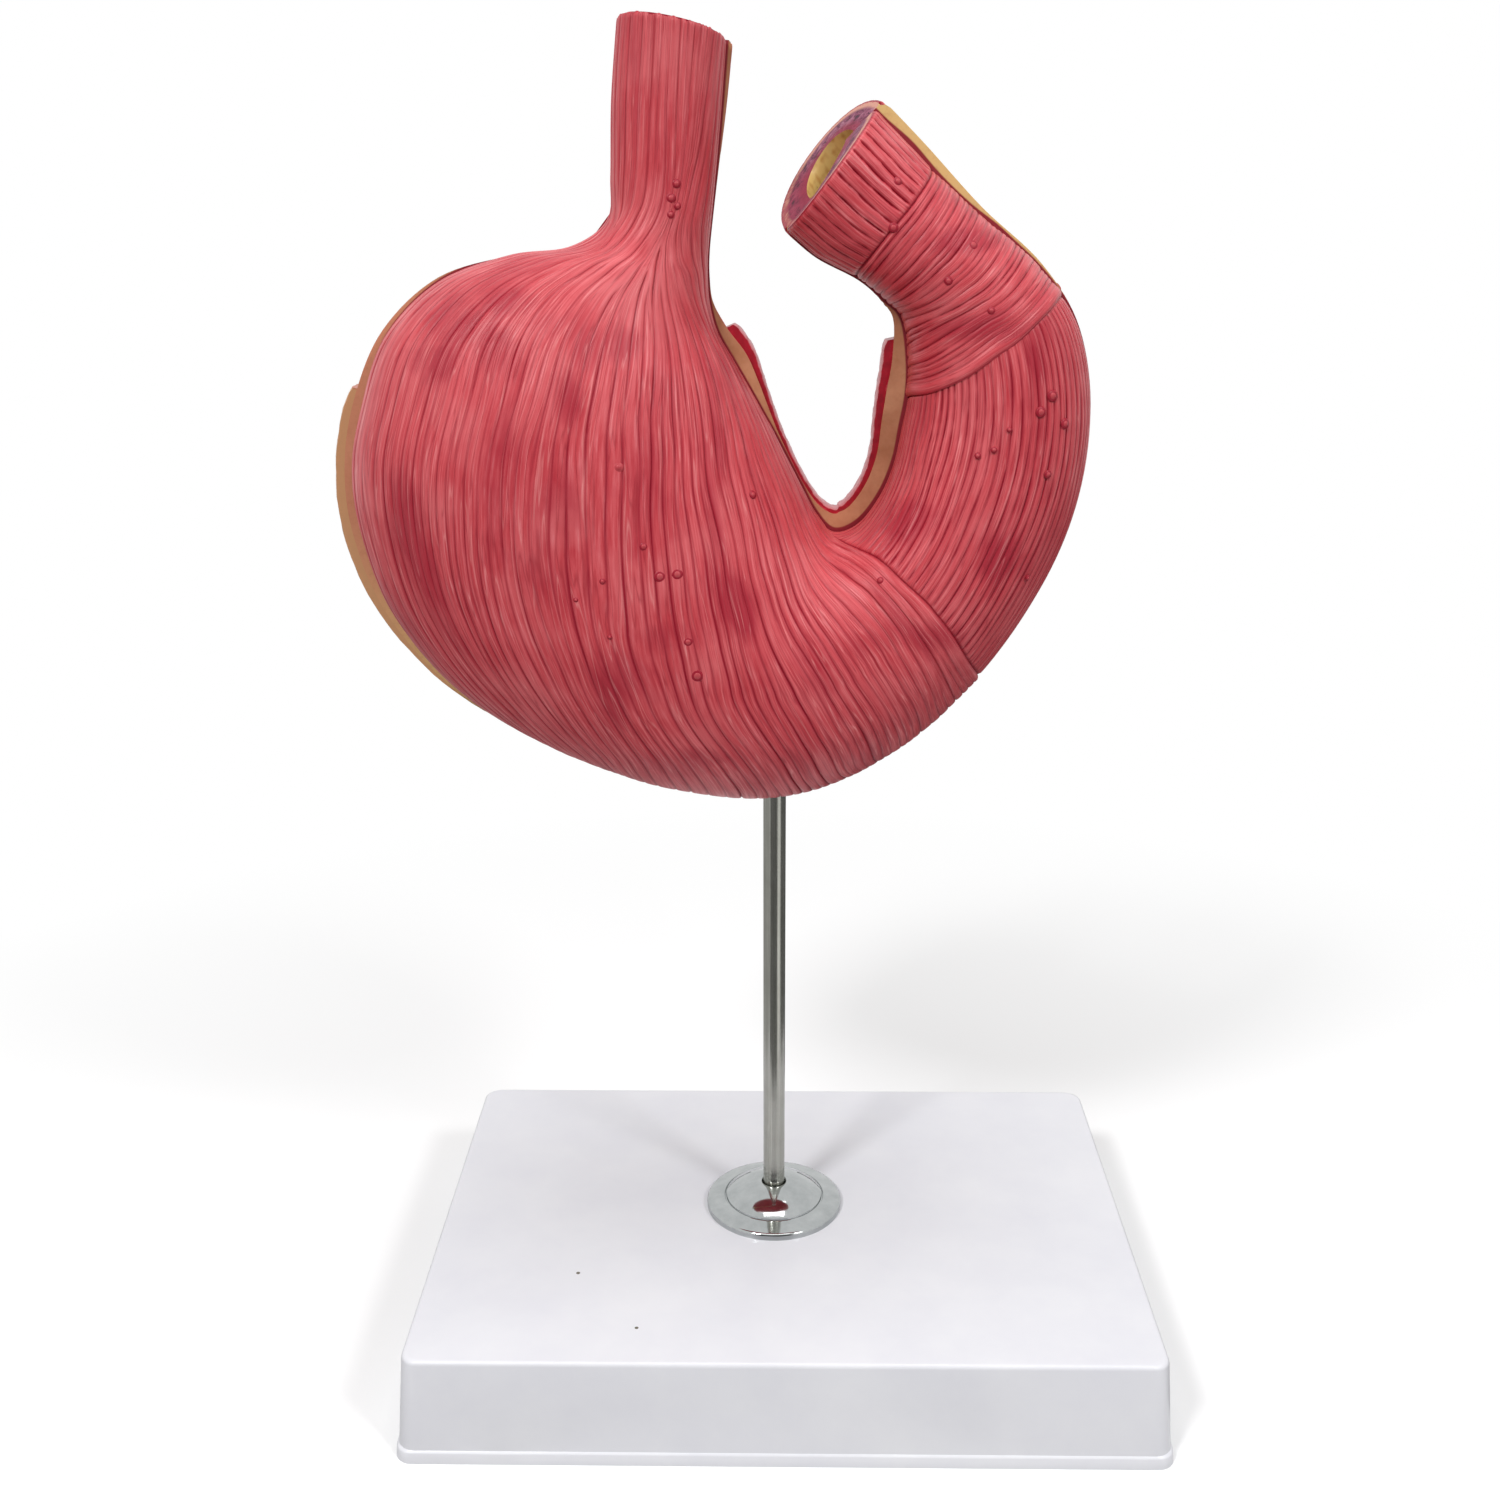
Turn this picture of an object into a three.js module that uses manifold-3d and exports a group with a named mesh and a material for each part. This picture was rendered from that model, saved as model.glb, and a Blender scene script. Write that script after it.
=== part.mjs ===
// A life-size teaching model of a human stomach in two halves, on a rod and a flat base.
// Millimetres, +Z up. The origin is at the centre of the base's underside.
import * as THREE from "three";
import { mergeVertices } from "three/addons/utils/BufferGeometryUtils.js";
import Module from "manifold-3d";

const wasm = await Module();
wasm.setup();

// Base: a moulded shell with sloping sides, closed from below by a plate
const base_width = 191;
const base_depth = 136;
const base_height = 28.5;
const base_draft = 2;
const base_corner = 2.5;
const hollow_corner = 0.5;
const base_edge = 0.8;
const lip_height = 3;
const lip_proud = 0.5;
const shell_wall = 3;
const shell_top = 4;
const boss_radius = 13;
const boss_depth = 4;
const plate_thickness = 3;
const plate_clearance = 0.3;

// Screws that hold the plate to posts inside the shell
const screw_inset = 16;
const screw_radius = 1.45;
const screw_length = 14;
const screw_tip = 1;
const pilot_spare = 2;
const screw_head_radius = 3;
const screw_head_height = 1.8;
const screw_clearance = 0.2;
const screw_recess = 0.3;
const post_radius = 4.5;

// Rod, clamped through the base by two nuts
const rod_x = -2.6;
const rod_y = 3.4;
const rod_radius = 3;
const rod_free_length = 125;
const rod_in_socket = 33;
const rod_chamfer = 0.6;
const rod_hole_clearance = 0.4;
const thread_length_below = 9;
const nut_width = 10;
const nut_height = 5;
const washer_radius = 9;
const washer_height = 1.6;
const fit_clearance = 0.3;

// Chromed cover over the upper nut
const cover_radius = 19.1;
const cover_edge = 2;
const cover_rim_rise = 1.2;
const cover_dome_radius = 13.7;
const cover_dome_rise = 5;
const cover_sheet = 1;

// Socket: a sleeve with a closed top, which hangs the stomach on the rod's tip
const socket_wall = 1.5;
const socket_cap = 3;
const socket_edge = 0.5;
const socket_above_bottom = 3.5;
const socket_boss_wall = 2.6;
const socket_boss_root = 5;
const socket_boss_top = 3;

// Stomach: distances from the rod's axis and from the lowest point of the stomach.
// Each station, from the oesophagus to the duodenum, has a point on the lesser curve (x, z),
// its partner on the greater curve (x, z), the depth of the front and of the rear half, and how far
// the rear half's rim shows past the front half on each curve.
const stations = [
  [-10.8, 182.6, -36.4, 187.2, 12.5, 14, 1.3, 0.3],
  [-12, 169, -38.1, 170, 12.5, 14, 1, 0.3],
  [-13.4, 155, -38.7, 153.5, 12.5, 14.5, 0.5, 0.3],
  [-14.5, 145, -39.7, 144, 13.5, 15.5, 0.3, 0.3],
  [-15.4, 137, -48.4, 138.3, 16, 18, 0.3, 0.3],
  [-15.6, 131, -62.4, 136.5, 20, 23, 0.4, 0.3],
  [-15.2, 125, -79.4, 130.5, 24.5, 29, 0.8, 0.6],
  [-13.4, 118.5, -92.6, 118.3, 29, 35, 2.3, 1.2],
  [-9.6, 111.8, -99.9, 103, 32.5, 40, 3.3, 2],
  [-6, 105.6, -103.8, 87, 34.5, 43, 2.6, 1.8],
  [-2.3, 99, -102.4, 70, 35.5, 45, 1.5, 2.2],
  [1, 93.1, -95.4, 50, 36, 46, 0.7, 1.4],
  [6.6, 82.4, -79.4, 30.5, 36, 46, 0.5, 0.3],
  [10.3, 75.6, -55.4, 15.5, 35, 44.5, 1.7, 0.3],
  [14.6, 71.4, -27.4, 5.5, 33.5, 42, 4, 0.3],
  [20.2, 73.6, 2.6, 3.2, 31.5, 39, 4, 0.3],
  [25.2, 80.2, 29.6, 14.3, 29, 36, 4, 0.3],
  [28.4, 88.2, 51.3, 34.5, 27, 33, 4.2, 0.3],
  [29.9, 96.4, 65.6, 56.5, 25, 31, 4.6, 0.3],
  [31.2, 104, 73.5, 76.8, 23.5, 29, 4.8, 0.3],
  [31.2, 112.2, 76, 99, 22, 27, 3.6, 0.3],
  [29.6, 121.3, 72.3, 119, 20.5, 25, 2, 0.3],
  [25.6, 125.3, 62.2, 133.2, 19.5, 23, 0.6, 0.3],
  [19.6, 130.2, 47.2, 145.4, 18.5, 22, 0.4, 1.6],
  [9.6, 135.3, 32.8, 158.2, 18, 21.5, 0.4, 2.9],
  [2.2, 141.3, 22.8, 168, 18, 21.5, 0.4, 2.8],
];
const wall = 6;
const tube_wall = 5;
const tube_wall_ends = 5;
const section_fullness = 2.15;
const halves_gap = 0.3;
const rod_behind_parting = 8.4;
const duodenum_end_tilt = 17;
const duodenum_tilt_from = 22;
const oesophagus_end_tilt = 9;
const oesophagus_tilt_to = 2;

// Lines of muscle fibre on the body and the oesophagus, as [station, angle from the lesser curve],
// each under its number. Fibre 0 is the edge beside the antrum, and 64 runs along the greater curve.
const fibre_lines = new Map([
  [0, [[13.4, 0], [13.8, 4.5], [14.2, 11], [14.6, 19.5], [15, 28], [15.5, 40], [16, 56], [16.4, 73],
    [16.7, 90], [16.87, 108], [16.95, 130], [17, 180]]],
  [6, [[10.4, 0], [11, 3], [12, 8], [13, 12.5], [14, 19.5], [14.5, 26], [15, 35], [15.5, 48], [16, 66],
    [16.35, 83], [16.6, 103], [16.72, 125], [16.8, 180]]],
  [12, [[0, 0], [4.5, 1.5], [6.5, 3], [8.5, 6.5], [10.5, 11], [12.5, 18.5], [14, 29], [15, 45.5],
    [15.5, 58], [16, 78], [16.3, 97], [16.45, 118], [16.5, 140], [16.55, 180]]],
  [20, [[0, 50], [3, 60], [3.5, 57], [4, 50], [5, 33], [6, 24], [7, 17], [8, 17.5], [9, 20],
    [10.5, 24.5], [11.5, 29], [12.5, 34.5], [13.3, 41], [14, 51], [15, 72.5], [15.5, 90.5], [15.8, 108],
    [16, 128], [16.05, 150], [16.1, 180]]],
  [30, [[0, 58], [3, 69], [3.6, 68], [4.2, 60], [5, 50], [6, 41], [7, 36], [8, 38], [9, 40.5],
    [10, 44.5], [11, 49], [12, 54.5], [13, 64.5], [14, 81.5], [14.5, 94], [14.9, 108], [15.2, 125],
    [15.35, 140], [15.55, 180]]],
  [36, [[0, 63], [3, 75], [3.7, 74], [5, 63], [6, 57], [7, 54], [8, 56], [9, 58.5], [10, 61.5],
    [11, 66.5], [12, 74], [13, 86.5], [14, 105.5], [14.4, 118], [14.9, 142], [15.15, 180]]],
  [42, [[0, 68], [2, 75], [3.7, 82.5], [5.2, 78], [7, 79], [8, 82], [10, 88.5], [11, 93], [12, 101],
    [13, 113.5], [13.5, 122.5], [14.1, 140], [14.7, 180]]],
  [48, [[0, 90], [2, 99], [3, 110], [4, 106], [5, 102.5], [7, 101.5], [9, 106], [10, 110], [11, 115.5],
    [12, 122], [13, 134.5], [13.8, 152], [14.3, 180]]],
  [54, [[0, 117], [2, 121], [3, 130], [4.1, 120], [6, 118], [8, 121.5], [10, 127], [11, 130.5],
    [12, 135], [13, 148], [13.5, 180]]],
  [60, [[0, 147], [2.6, 149], [3.6, 134], [4.4, 143], [6, 142], [8, 142], [10, 144.5], [11, 147.5],
    [12, 154], [12.8, 180]]],
  [64, [[0, 180], [11.6, 180]]],
]);

// The edges between the body, the antrum, the pylorus and the end of the duodenum, as [angle, station]
const antrum_start = fibre_lines.get(0).map(([station, angle]) => [angle, station]);
const antrum_end = [[0, 18.9], [30, 19.3], [60, 20], [90, 20.6], [120, 21.15], [140, 21.4], [180, 21.5]];
const sleeve_start = [[0, 23.1], [30, 23.2], [60, 23.45], [90, 23.55], [180, 23.75]];

// The muscle's relief: the fibres in a main bundle, the grooves between bundles and beside the edges
const bundle_fibres = 6;
const bundle_angle = 30;
const pylorus_bundles = 3;
const groove_depth = 1.1;
const groove_sharpness = 2;
const edge_groove_width = 0.3;
const relief_rim_angles = [3, 15];
const narrow_bundle_angles = [10, 16];

// Cut edges of the omenta, which stand out along both curves of the rear half
const lesser_ridge = { from: 7, to: 20.5, setback: 2, depth: 7, root: 3.5 };
const lesser_ridge_widths = [2.6, 1.2, 0.8, 0.9, 1.2, 1.8, 2.4];
const greater_ridge = { from: 7.9, to: 12.5, setback: 0.4, depth: 8, root: 3.5 };
const greater_ridge_widths = [2.2, 2.6, 0.3];

// Magnets and pins in the rims: the curve and the station at which each one sits
const magnet_places = [["greater", 7], ["greater", 13.5], ["greater", 20.5], ["lesser", 10]];
const pin_places = [["greater", 10], ["lesser", 18.5]];
const magnet_radius = 2;
const magnet_height = 2.5;
const magnet_recess = 0.2;
const pin_radius = 1.25;
const pin_length = 9;
const pin_projection = 4;
const insert_clearance = 0.2;

// Fineness of the faceted surfaces
const spans_per_station = 2;
const pylorus_spans_per_station = 4;
const spans_around = 32;
const round_segments = 32;
const small_segments = 16;
const hexagon_sides = 6;
const corner_steps = 4;
const dome_steps = 4;

// How far a cutting body runs past the face it cuts, and how near two points count as one
const cut_past = 1;
const same_point = 1e-4;

// Where the pieces meet, worked out from the sizes above
const nut_floor = base_height - shell_top - boss_depth;
const rod_bottom = nut_floor - washer_height - thread_length_below;
const stomach_bottom = base_height + rod_free_length;
const rod_top = stomach_bottom + rod_in_socket;
const parting_y = rod_y - rod_behind_parting;
const socket_bore = rod_radius + fit_clearance;
const socket_radius = socket_bore + socket_wall;
const socket_top = rod_in_socket + fit_clearance + socket_cap;
const last_station = stations.length - 1;

// A geometry as a solid that can be cut and joined, and back.
function solid(geometry) {
  const bare = new THREE.BufferGeometry();
  bare.setAttribute("position", geometry.getAttribute("position"));
  bare.setIndex(geometry.index);
  const merged = mergeVertices(bare, same_point);
  return new wasm.Manifold(
    new wasm.Mesh({
      numProp: 3,
      vertProperties: merged.getAttribute("position").array,
      triVerts: new Uint32Array(merged.index.array),
    }),
  );
}

function geometryOf(body) {
  const mesh = body.getMesh();
  const geometry = new THREE.BufferGeometry();
  geometry.setAttribute("position", new THREE.BufferAttribute(mesh.vertProperties, 3));
  geometry.setIndex(new THREE.BufferAttribute(mesh.triVerts, 1));
  geometry.computeVertexNormals();
  return geometry;
}

// A body turned about the vertical axis from a profile of [radius, height] points.
function turned(profile, segments = round_segments) {
  const points = profile.map(([radius, height]) => new THREE.Vector2(radius, height));
  return new THREE.LatheGeometry(points, segments).rotateX(Math.PI / 2);
}

// A plain round bar from one height to another, standing at x, y.
function bar(radius, from, to, x = 0, y = 0) {
  const profile = [[0, from], [radius, from], [radius, to], [0, to]];
  return turned(profile).translate(x, y, 0);
}

// A round bar that lies along Y, from one y to another.
function barAlongY(radius, from, to, x, z) {
  return bar(radius, from, to).rotateX(-Math.PI / 2).translate(x, 0, z);
}

// A closed body from loops of points, each loop joined to the next. With a fan, each end is closed by
// triangles about its middle. Without one, each point of an end loop is joined to the point that lies
// as far from the loop's other end.
function loft(loops, fan) {
  const size = loops[0].length;
  const vertices = loops.flat();
  const faces = [];
  const quad = (a, b, c, d) => faces.push(a, b, c, a, c, d);
  for (let i = 0; i + 1 < loops.length; i += 1) {
    for (let j = 0; j < size; j += 1) {
      const next = (j + 1) % size;
      quad(i * size + j, i * size + next, (i + 1) * size + next, (i + 1) * size + j);
    }
  }
  const start = (loops.length - 1) * size;
  if (fan) {
    for (const [from, turn] of [[0, true], [start, false]]) {
      const middle = new THREE.Vector3();
      for (let j = 0; j < size; j += 1) {
        middle.addScaledVector(vertices[from + j], 1 / size);
      }
      vertices.push(middle);
      for (let j = 0; j < size; j += 1) {
        const pair = [from + j, from + ((j + 1) % size)];
        if (turn) {
          pair.reverse();
        }
        faces.push(pair[0], pair[1], vertices.length - 1);
      }
    }
  } else {
    for (let j = 0; j + 1 < size / 2; j += 1) {
      quad(j, size - 1 - j, size - 2 - j, j + 1);
      quad(start + j, start + j + 1, start + size - 2 - j, start + size - 1 - j);
    }
  }
  if (signedVolume(vertices, faces) < 0) {
    faces.reverse();
  }
  const geometry = new THREE.BufferGeometry().setFromPoints(vertices);
  geometry.setIndex(faces);
  return geometry;
}

// The volume that the faces enclose, below zero where they face inwards.
function signedVolume(vertices, faces) {
  let volume = 0;
  for (let i = 0; i < faces.length; i += 3) {
    const [a, b, c] = [0, 1, 2].map((k) => vertices[faces[i + k]]);
    volume += a.dot(b.clone().cross(c)) / 6;
  }
  return volume;
}

// A rounded rectangle at one height, moved outwards by spread on every side.
function rectangleLoop(width, depth, corner, z, spread) {
  const loop = [];
  for (const [sx, sy, from] of [[1, 1, 0], [-1, 1, 1], [-1, -1, 2], [1, -1, 3]]) {
    for (let k = 0; k <= corner_steps; k += 1) {
      const angle = ((from + k / corner_steps) * Math.PI) / 2;
      const x = sx * (width / 2 - corner + spread) + corner * Math.cos(angle);
      const y = sy * (depth / 2 - corner + spread) + corner * Math.sin(angle);
      loop.push(new THREE.Vector3(x, y, z));
    }
  }
  return loop;
}

// A block built up from levels of [height, spread].
function block(width, depth, corner, levels) {
  const loops = levels.map(([z, spread]) => rectangleLoop(width, depth, corner, z, spread));
  return loft(loops, true);
}

function screwPlaces() {
  const x = base_width / 2 - screw_inset;
  const y = base_depth / 2 - screw_inset;
  return [[-x, -y], [x, -y], [x, y], [-x, y]];
}

// How far the base's side stands out beyond its top edge at a height.
function draftAt(z) {
  return base_draft * (1 - z / base_height);
}

function baseShell() {
  const hollow_top = base_height - shell_top;
  const outside = block(base_width, base_depth, base_corner, [
    [0, draftAt(0) + lip_proud],
    [lip_height, draftAt(lip_height) + lip_proud],
    [lip_height + lip_proud, draftAt(lip_height + lip_proud)],
    [base_height - base_edge, draftAt(base_height - base_edge)],
    [base_height, -base_edge],
  ]);
  const hollow = block(base_width, base_depth, hollow_corner, [
    [-cut_past, draftAt(-cut_past) - shell_wall],
    [hollow_top, draftAt(hollow_top) - shell_wall],
  ]);
  const rod_hole = rod_radius + rod_hole_clearance;
  const pilot = screw_radius + screw_clearance;
  let shell = solid(outside).subtract(solid(hollow));
  shell = shell.add(solid(bar(boss_radius, nut_floor, hollow_top + cut_past, rod_x, rod_y)));
  for (const [x, y] of screwPlaces()) {
    shell = shell.add(solid(bar(post_radius, plate_thickness, hollow_top + cut_past, x, y)));
    shell = shell.subtract(solid(bar(pilot, -cut_past, screw_length + pilot_spare, x, y)));
  }
  return shell.subtract(solid(bar(rod_hole, -cut_past, base_height + cut_past, rod_x, rod_y)));
}

function basePlate() {
  const spread = draftAt(plate_thickness) - shell_wall - plate_clearance;
  let plate = solid(
    block(base_width, base_depth, hollow_corner, [[0, spread], [plate_thickness, spread]]),
  );
  for (const [x, y] of screwPlaces()) {
    const hole = turned([
      [0, -cut_past],
      [screw_head_radius + screw_clearance, -cut_past],
      [screw_head_radius + screw_clearance, screw_recess],
      [screw_radius + screw_clearance, screw_recess + screw_head_height],
      [screw_radius + screw_clearance, plate_thickness + cut_past],
      [0, plate_thickness + cut_past],
    ], small_segments);
    plate = plate.subtract(solid(hole.translate(x, y, 0)));
  }
  return plate;
}

function baseScrew([x, y]) {
  const low = screw_recess + screw_clearance;
  return turned([
    [0, low],
    [screw_head_radius, low],
    [screw_radius, low + screw_head_height],
    [screw_radius, screw_length - screw_tip],
    [screw_radius / 2, screw_length],
    [0, screw_length],
  ], small_segments).translate(x, y, 0);
}

function rod() {
  return turned([
    [0, rod_bottom],
    [rod_radius - rod_chamfer, rod_bottom],
    [rod_radius, rod_bottom + rod_chamfer],
    [rod_radius, rod_top - rod_chamfer],
    [rod_radius - rod_chamfer, rod_top],
    [0, rod_top],
  ]).translate(rod_x, rod_y, 0);
}

function nut(bottom) {
  const corner = nut_width / 2 / Math.cos(Math.PI / hexagon_sides);
  const outside = turned([[0, 0], [corner, 0], [corner, nut_height], [0, nut_height]], hexagon_sides);
  const hole = bar(rod_radius + fit_clearance, -cut_past, nut_height + cut_past);
  return solid(outside).subtract(solid(hole)).translate([rod_x, rod_y, bottom]);
}

function washer() {
  const low = nut_floor - washer_height;
  const bore = rod_radius + fit_clearance;
  const profile = [[bore, low], [washer_radius, low], [washer_radius, nut_floor], [bore, nut_floor]];
  return turned([...profile, profile[0]]).translate(rod_x, rod_y, 0);
}

// The cover's dome at a radius, above the base's top face.
function domeHeight(radius) {
  const across = radius / cover_dome_radius;
  return cover_edge + cover_rim_rise + cover_dome_rise * (1 - across * across);
}

function rodCover() {
  const bore = rod_radius + fit_clearance;
  const radii = [];
  for (let i = 0; i < dome_steps; i += 1) {
    radii.push(THREE.MathUtils.lerp(cover_dome_radius, bore + cover_sheet, i / dome_steps));
  }
  const outer = [
    [cover_radius, 0],
    [cover_radius, cover_edge - cover_sheet / 2],
    [cover_radius - cover_sheet / 2, cover_edge],
    ...radii.map((radius) => [radius, domeHeight(radius)]),
    [bore, domeHeight(bore + cover_sheet / 2)],
  ];
  const inner = [
    [bore, domeHeight(bore) - cover_sheet],
    ...radii.toReversed().map((radius) => [radius, domeHeight(radius) - cover_sheet]),
    [cover_radius - cover_sheet, cover_edge - cover_sheet],
    [cover_radius - cover_sheet, 0],
  ];
  return turned([...outer, ...inner, outer[0]]).translate(rod_x, rod_y, base_height);
}

// The sleeve stands in the stomach's own frame, whose z is 0 at the stomach's lowest point.
function rodSocket() {
  return turned([
    [socket_bore, socket_above_bottom],
    [socket_radius, socket_above_bottom],
    [socket_radius, socket_top - socket_edge],
    [socket_radius - socket_edge, socket_top],
    [0, socket_top],
    [0, socket_top - socket_cap],
    [socket_bore, socket_top - socket_cap],
    [socket_bore, socket_above_bottom],
  ]);
}

// A smooth run through one column, or a pair of columns, of the stations.
function column(index) {
  return new THREE.SplineCurve(stations.map((row, i) => new THREE.Vector2(i, row[index])));
}

const curves = {
  lesser: new THREE.SplineCurve(stations.map((row) => new THREE.Vector2(row[0], row[1]))),
  greater: new THREE.SplineCurve(stations.map((row) => new THREE.Vector2(row[2], row[3]))),
};
const depths = { front: column(4), rear: column(5) };
const bands = { lesser: column(6), greater: column(7) };
const facing = { lesser: 1, greater: -1 };

// A point of an outline at a station, and its outward direction in the parting plane.
function outline(name, station) {
  const at = station / last_station;
  const point = curves[name].getPoint(at);
  const along = curves[name].getTangent(at);
  return { point, out: new THREE.Vector2(-along.y, along.x).multiplyScalar(facing[name]) };
}

// The same outline moved outwards.
function movedOutline(name, station, distance) {
  const { point, out } = outline(name, station);
  return point.addScaledVector(out, distance);
}

function valueAt(curve, station) {
  return curve.getPoint(station / last_station).y;
}

// Both ends are cut at an angle, so that a point's depth moves it along the tube: the duodenum's mouth
// turns a little to the front, and the oesophagus is highest at its front.
function endShift(station, y) {
  const duodenum = THREE.MathUtils.smoothstep(station, duodenum_tilt_from, last_station);
  const oesophagus = 1 - THREE.MathUtils.smoothstep(station, 0, oesophagus_tilt_to);
  const tilt = duodenum * duodenum_end_tilt - oesophagus * oesophagus_end_tilt;
  const slope = Math.tan(THREE.MathUtils.degToRad(tilt));
  const along = duodenum > 0 ? duodenum_direction : oesophagus_direction;
  return along.clone().multiplyScalar(slope * y);
}

// The direction in which the tube runs out, from one station to the next or the one before.
function tubeDirection(before, end) {
  const middle = (at) => outline("lesser", at).point.add(outline("greater", at).point);
  return middle(end).sub(middle(before)).normalize();
}

const duodenum_direction = tubeDirection(last_station - 1, last_station);
const oesophagus_direction = tubeDirection(1, 0);

// The value at x on a line of [x, value] points, held level past its ends.
function onLine(points, x) {
  const next = points.findIndex((point) => point[0] > x);
  if (next === 0) {
    return points[0][1];
  }
  if (next < 0) {
    return points.at(-1)[1];
  }
  const [before, after] = [points[next - 1], points[next]];
  return THREE.MathUtils.mapLinear(x, before[0], after[0], before[1], after[1]);
}

const fibre_starts = [...fibre_lines]
  .filter(([, line]) => line[0][1] === 0)
  .map(([number, line]) => [line[0][0], number])
  .toSorted((a, b) => a[0] - b[0]);
const fibre_ends = [...fibre_lines]
  .map(([number, line]) => [line.at(-1)[0], number])
  .toSorted((a, b) => a[0] - b[0]);

// The number of the fibre that passes a place on the body or the oesophagus.
function fibreNumber(station, angle) {
  const crossings = [...fibre_lines]
    .filter(([, line]) => line[0][0] <= station && station <= line.at(-1)[0])
    .map(([number, line]) => [onLine(line, station), number]);
  const ends = [[0, onLine(fibre_starts, station)], [180, onLine(fibre_ends, station)]];
  return onLine([ends[0], ...crossings, ends[1]], angle);
}

// How far through its bundle a place on the body lies, and how much of the relief there is room for.
function bodyBundle(station, angle) {
  const step = 180 / spans_around / 2;
  const fibres = fibreNumber(station, angle + step) - fibreNumber(station, angle - step);
  const width = (bundle_fibres * 2 * step) / Math.max(fibres, same_point);
  const room = THREE.MathUtils.smoothstep(width, ...narrow_bundle_angles);
  return { share: fibreNumber(station, angle) / bundle_fibres, room };
}

// How deep the muscle's relief lies below the outermost face at a station and an angle in degrees.
function reliefAt(station, angle) {
  const edges = [antrum_start, antrum_end, sleeve_start].map((edge) => onLine(edge, angle));
  const lengthwise = { share: angle / bundle_angle + 0.5, room: 1 };
  let bundle = lengthwise;
  if (station < edges[0]) {
    bundle = bodyBundle(station, angle);
  } else if (station >= edges[1] && station < edges[2]) {
    const along = (station - edges[1]) / (edges[2] - edges[1]);
    bundle = { share: along * pylorus_bundles, room: 1 };
  }
  const groove = bundle.room * ((1 + Math.cos(2 * Math.PI * bundle.share)) / 2) ** groove_sharpness;
  const from_edge = Math.min(...edges.map((edge) => Math.abs(station - edge)));
  const beside_edge = 1 - THREE.MathUtils.smoothstep(from_edge, 0, edge_groove_width);
  const from_rim = THREE.MathUtils.smoothstep(Math.min(angle, 180 - angle), ...relief_rim_angles);
  return groove_depth * from_rim * Math.max(groove, beside_edge);
}

// Half a cross-section, from the lesser curve to the greater, on the front or on the rear side.
// Its outer face has the muscle's relief.
function halfSection(station, half, lesser_move, greater_move, depth_move, has_relief) {
  const side = half === "front" ? -1 : 1;
  const power = 2 / section_fullness;
  const points = [];
  for (let j = 0; j <= spans_around; j += 1) {
    const angle = (Math.PI * j) / spans_around;
    const relief = has_relief ? reliefAt(station, (180 * j) / spans_around) : 0;
    const from = movedOutline("lesser", station, lesser_move - relief);
    const to = movedOutline("greater", station, greater_move - relief);
    const depth = valueAt(depths[half], station) + depth_move - relief;
    const across = Math.sign(Math.cos(angle)) * Math.abs(Math.cos(angle)) ** power;
    const y = side * depth * Math.max(0, Math.sin(angle)) ** power;
    const place = from.clone().lerp(to, (1 - across) / 2).add(endShift(station, y));
    points.push(new THREE.Vector3(place.x, y, place.y));
  }
  return points;
}

// The stations at which the wall has a cross-section, closer together where the grooves cross it.
function sectionStations() {
  const places = [];
  const [from, to] = [Math.floor(antrum_end[0][1]), Math.ceil(sleeve_start.at(-1)[1])];
  for (let station = 0; station <= last_station; ) {
    places.push(station);
    station += 1 / (station >= from && station < to ? pylorus_spans_per_station : spans_per_station);
  }
  return places;
}

// One half of the stomach's wall. The rear half's rim is wider by its bands.
function halfShell(half) {
  const loops = [];
  for (const station of sectionStations()) {
    const lesser_band = half === "rear" ? valueAt(bands.lesser, station) : 0;
    const greater_band = half === "rear" ? valueAt(bands.greater, station) : 0;
    const thickness = wallAt(station);
    const outside = halfSection(station, half, lesser_band, greater_band, 0, true);
    const inside = halfSection(station, half, -thickness, -thickness, -thickness, false);
    loops.push([...outside, ...inside.reverse()]);
  }
  return solid(loft(loops, false));
}

// The oesophagus has a thinner wall than the stomach.
function wallAt(station) {
  return THREE.MathUtils.lerp(tube_wall, wall, THREE.MathUtils.smoothstep(station, 0, tube_wall_ends));
}

// A strip along a curve of the rear half, whose width runs smoothly through a row of values.
function omentumRidge(name, ridge, widths) {
  const width = new THREE.SplineCurve(widths.map((value, i) => new THREE.Vector2(i, value)));
  const count = Math.round((ridge.to - ridge.from) * spans_per_station);
  const loops = [];
  for (let i = 0; i <= count; i += 1) {
    const station = ridge.from + ((ridge.to - ridge.from) * i) / count;
    const band = valueAt(bands[name], station);
    const root = movedOutline(name, station, band - ridge.root);
    const tip = movedOutline(name, station, band + width.getPoint(i / count).y);
    const [near, far] = [ridge.setback, ridge.setback + ridge.depth];
    loops.push([[root, near], [tip, near], [tip, far], [root, far]].map(
      ([point, y]) => new THREE.Vector3(point.x, y, point.y),
    ));
  }
  return solid(loft(loops, false));
}

// The middle of the rim beside a curve.
function rimPoint([name, station]) {
  return movedOutline(name, station, -wallAt(station) / 2);
}

// Blind holes in a rim for the magnets and the pins, on either side of the parting plane.
function cutInserts(body, side) {
  let cut = body;
  const magnet_hole = magnet_recess + magnet_height + insert_clearance;
  const pin_hole = (side < 0 ? pin_projection : pin_length - pin_projection) + insert_clearance;
  const hole = (place, radius, depth) => {
    const { x, y: z } = rimPoint(place);
    const ends = [-side * cut_past, side * depth].toSorted((a, b) => a - b);
    cut = cut.subtract(solid(barAlongY(radius + insert_clearance, ends[0], ends[1], x, z)));
  };
  for (const place of magnet_places) {
    hole(place, magnet_radius, magnet_hole);
  }
  for (const place of pin_places) {
    hole(place, pin_radius, pin_hole);
  }
  return cut;
}

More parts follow.
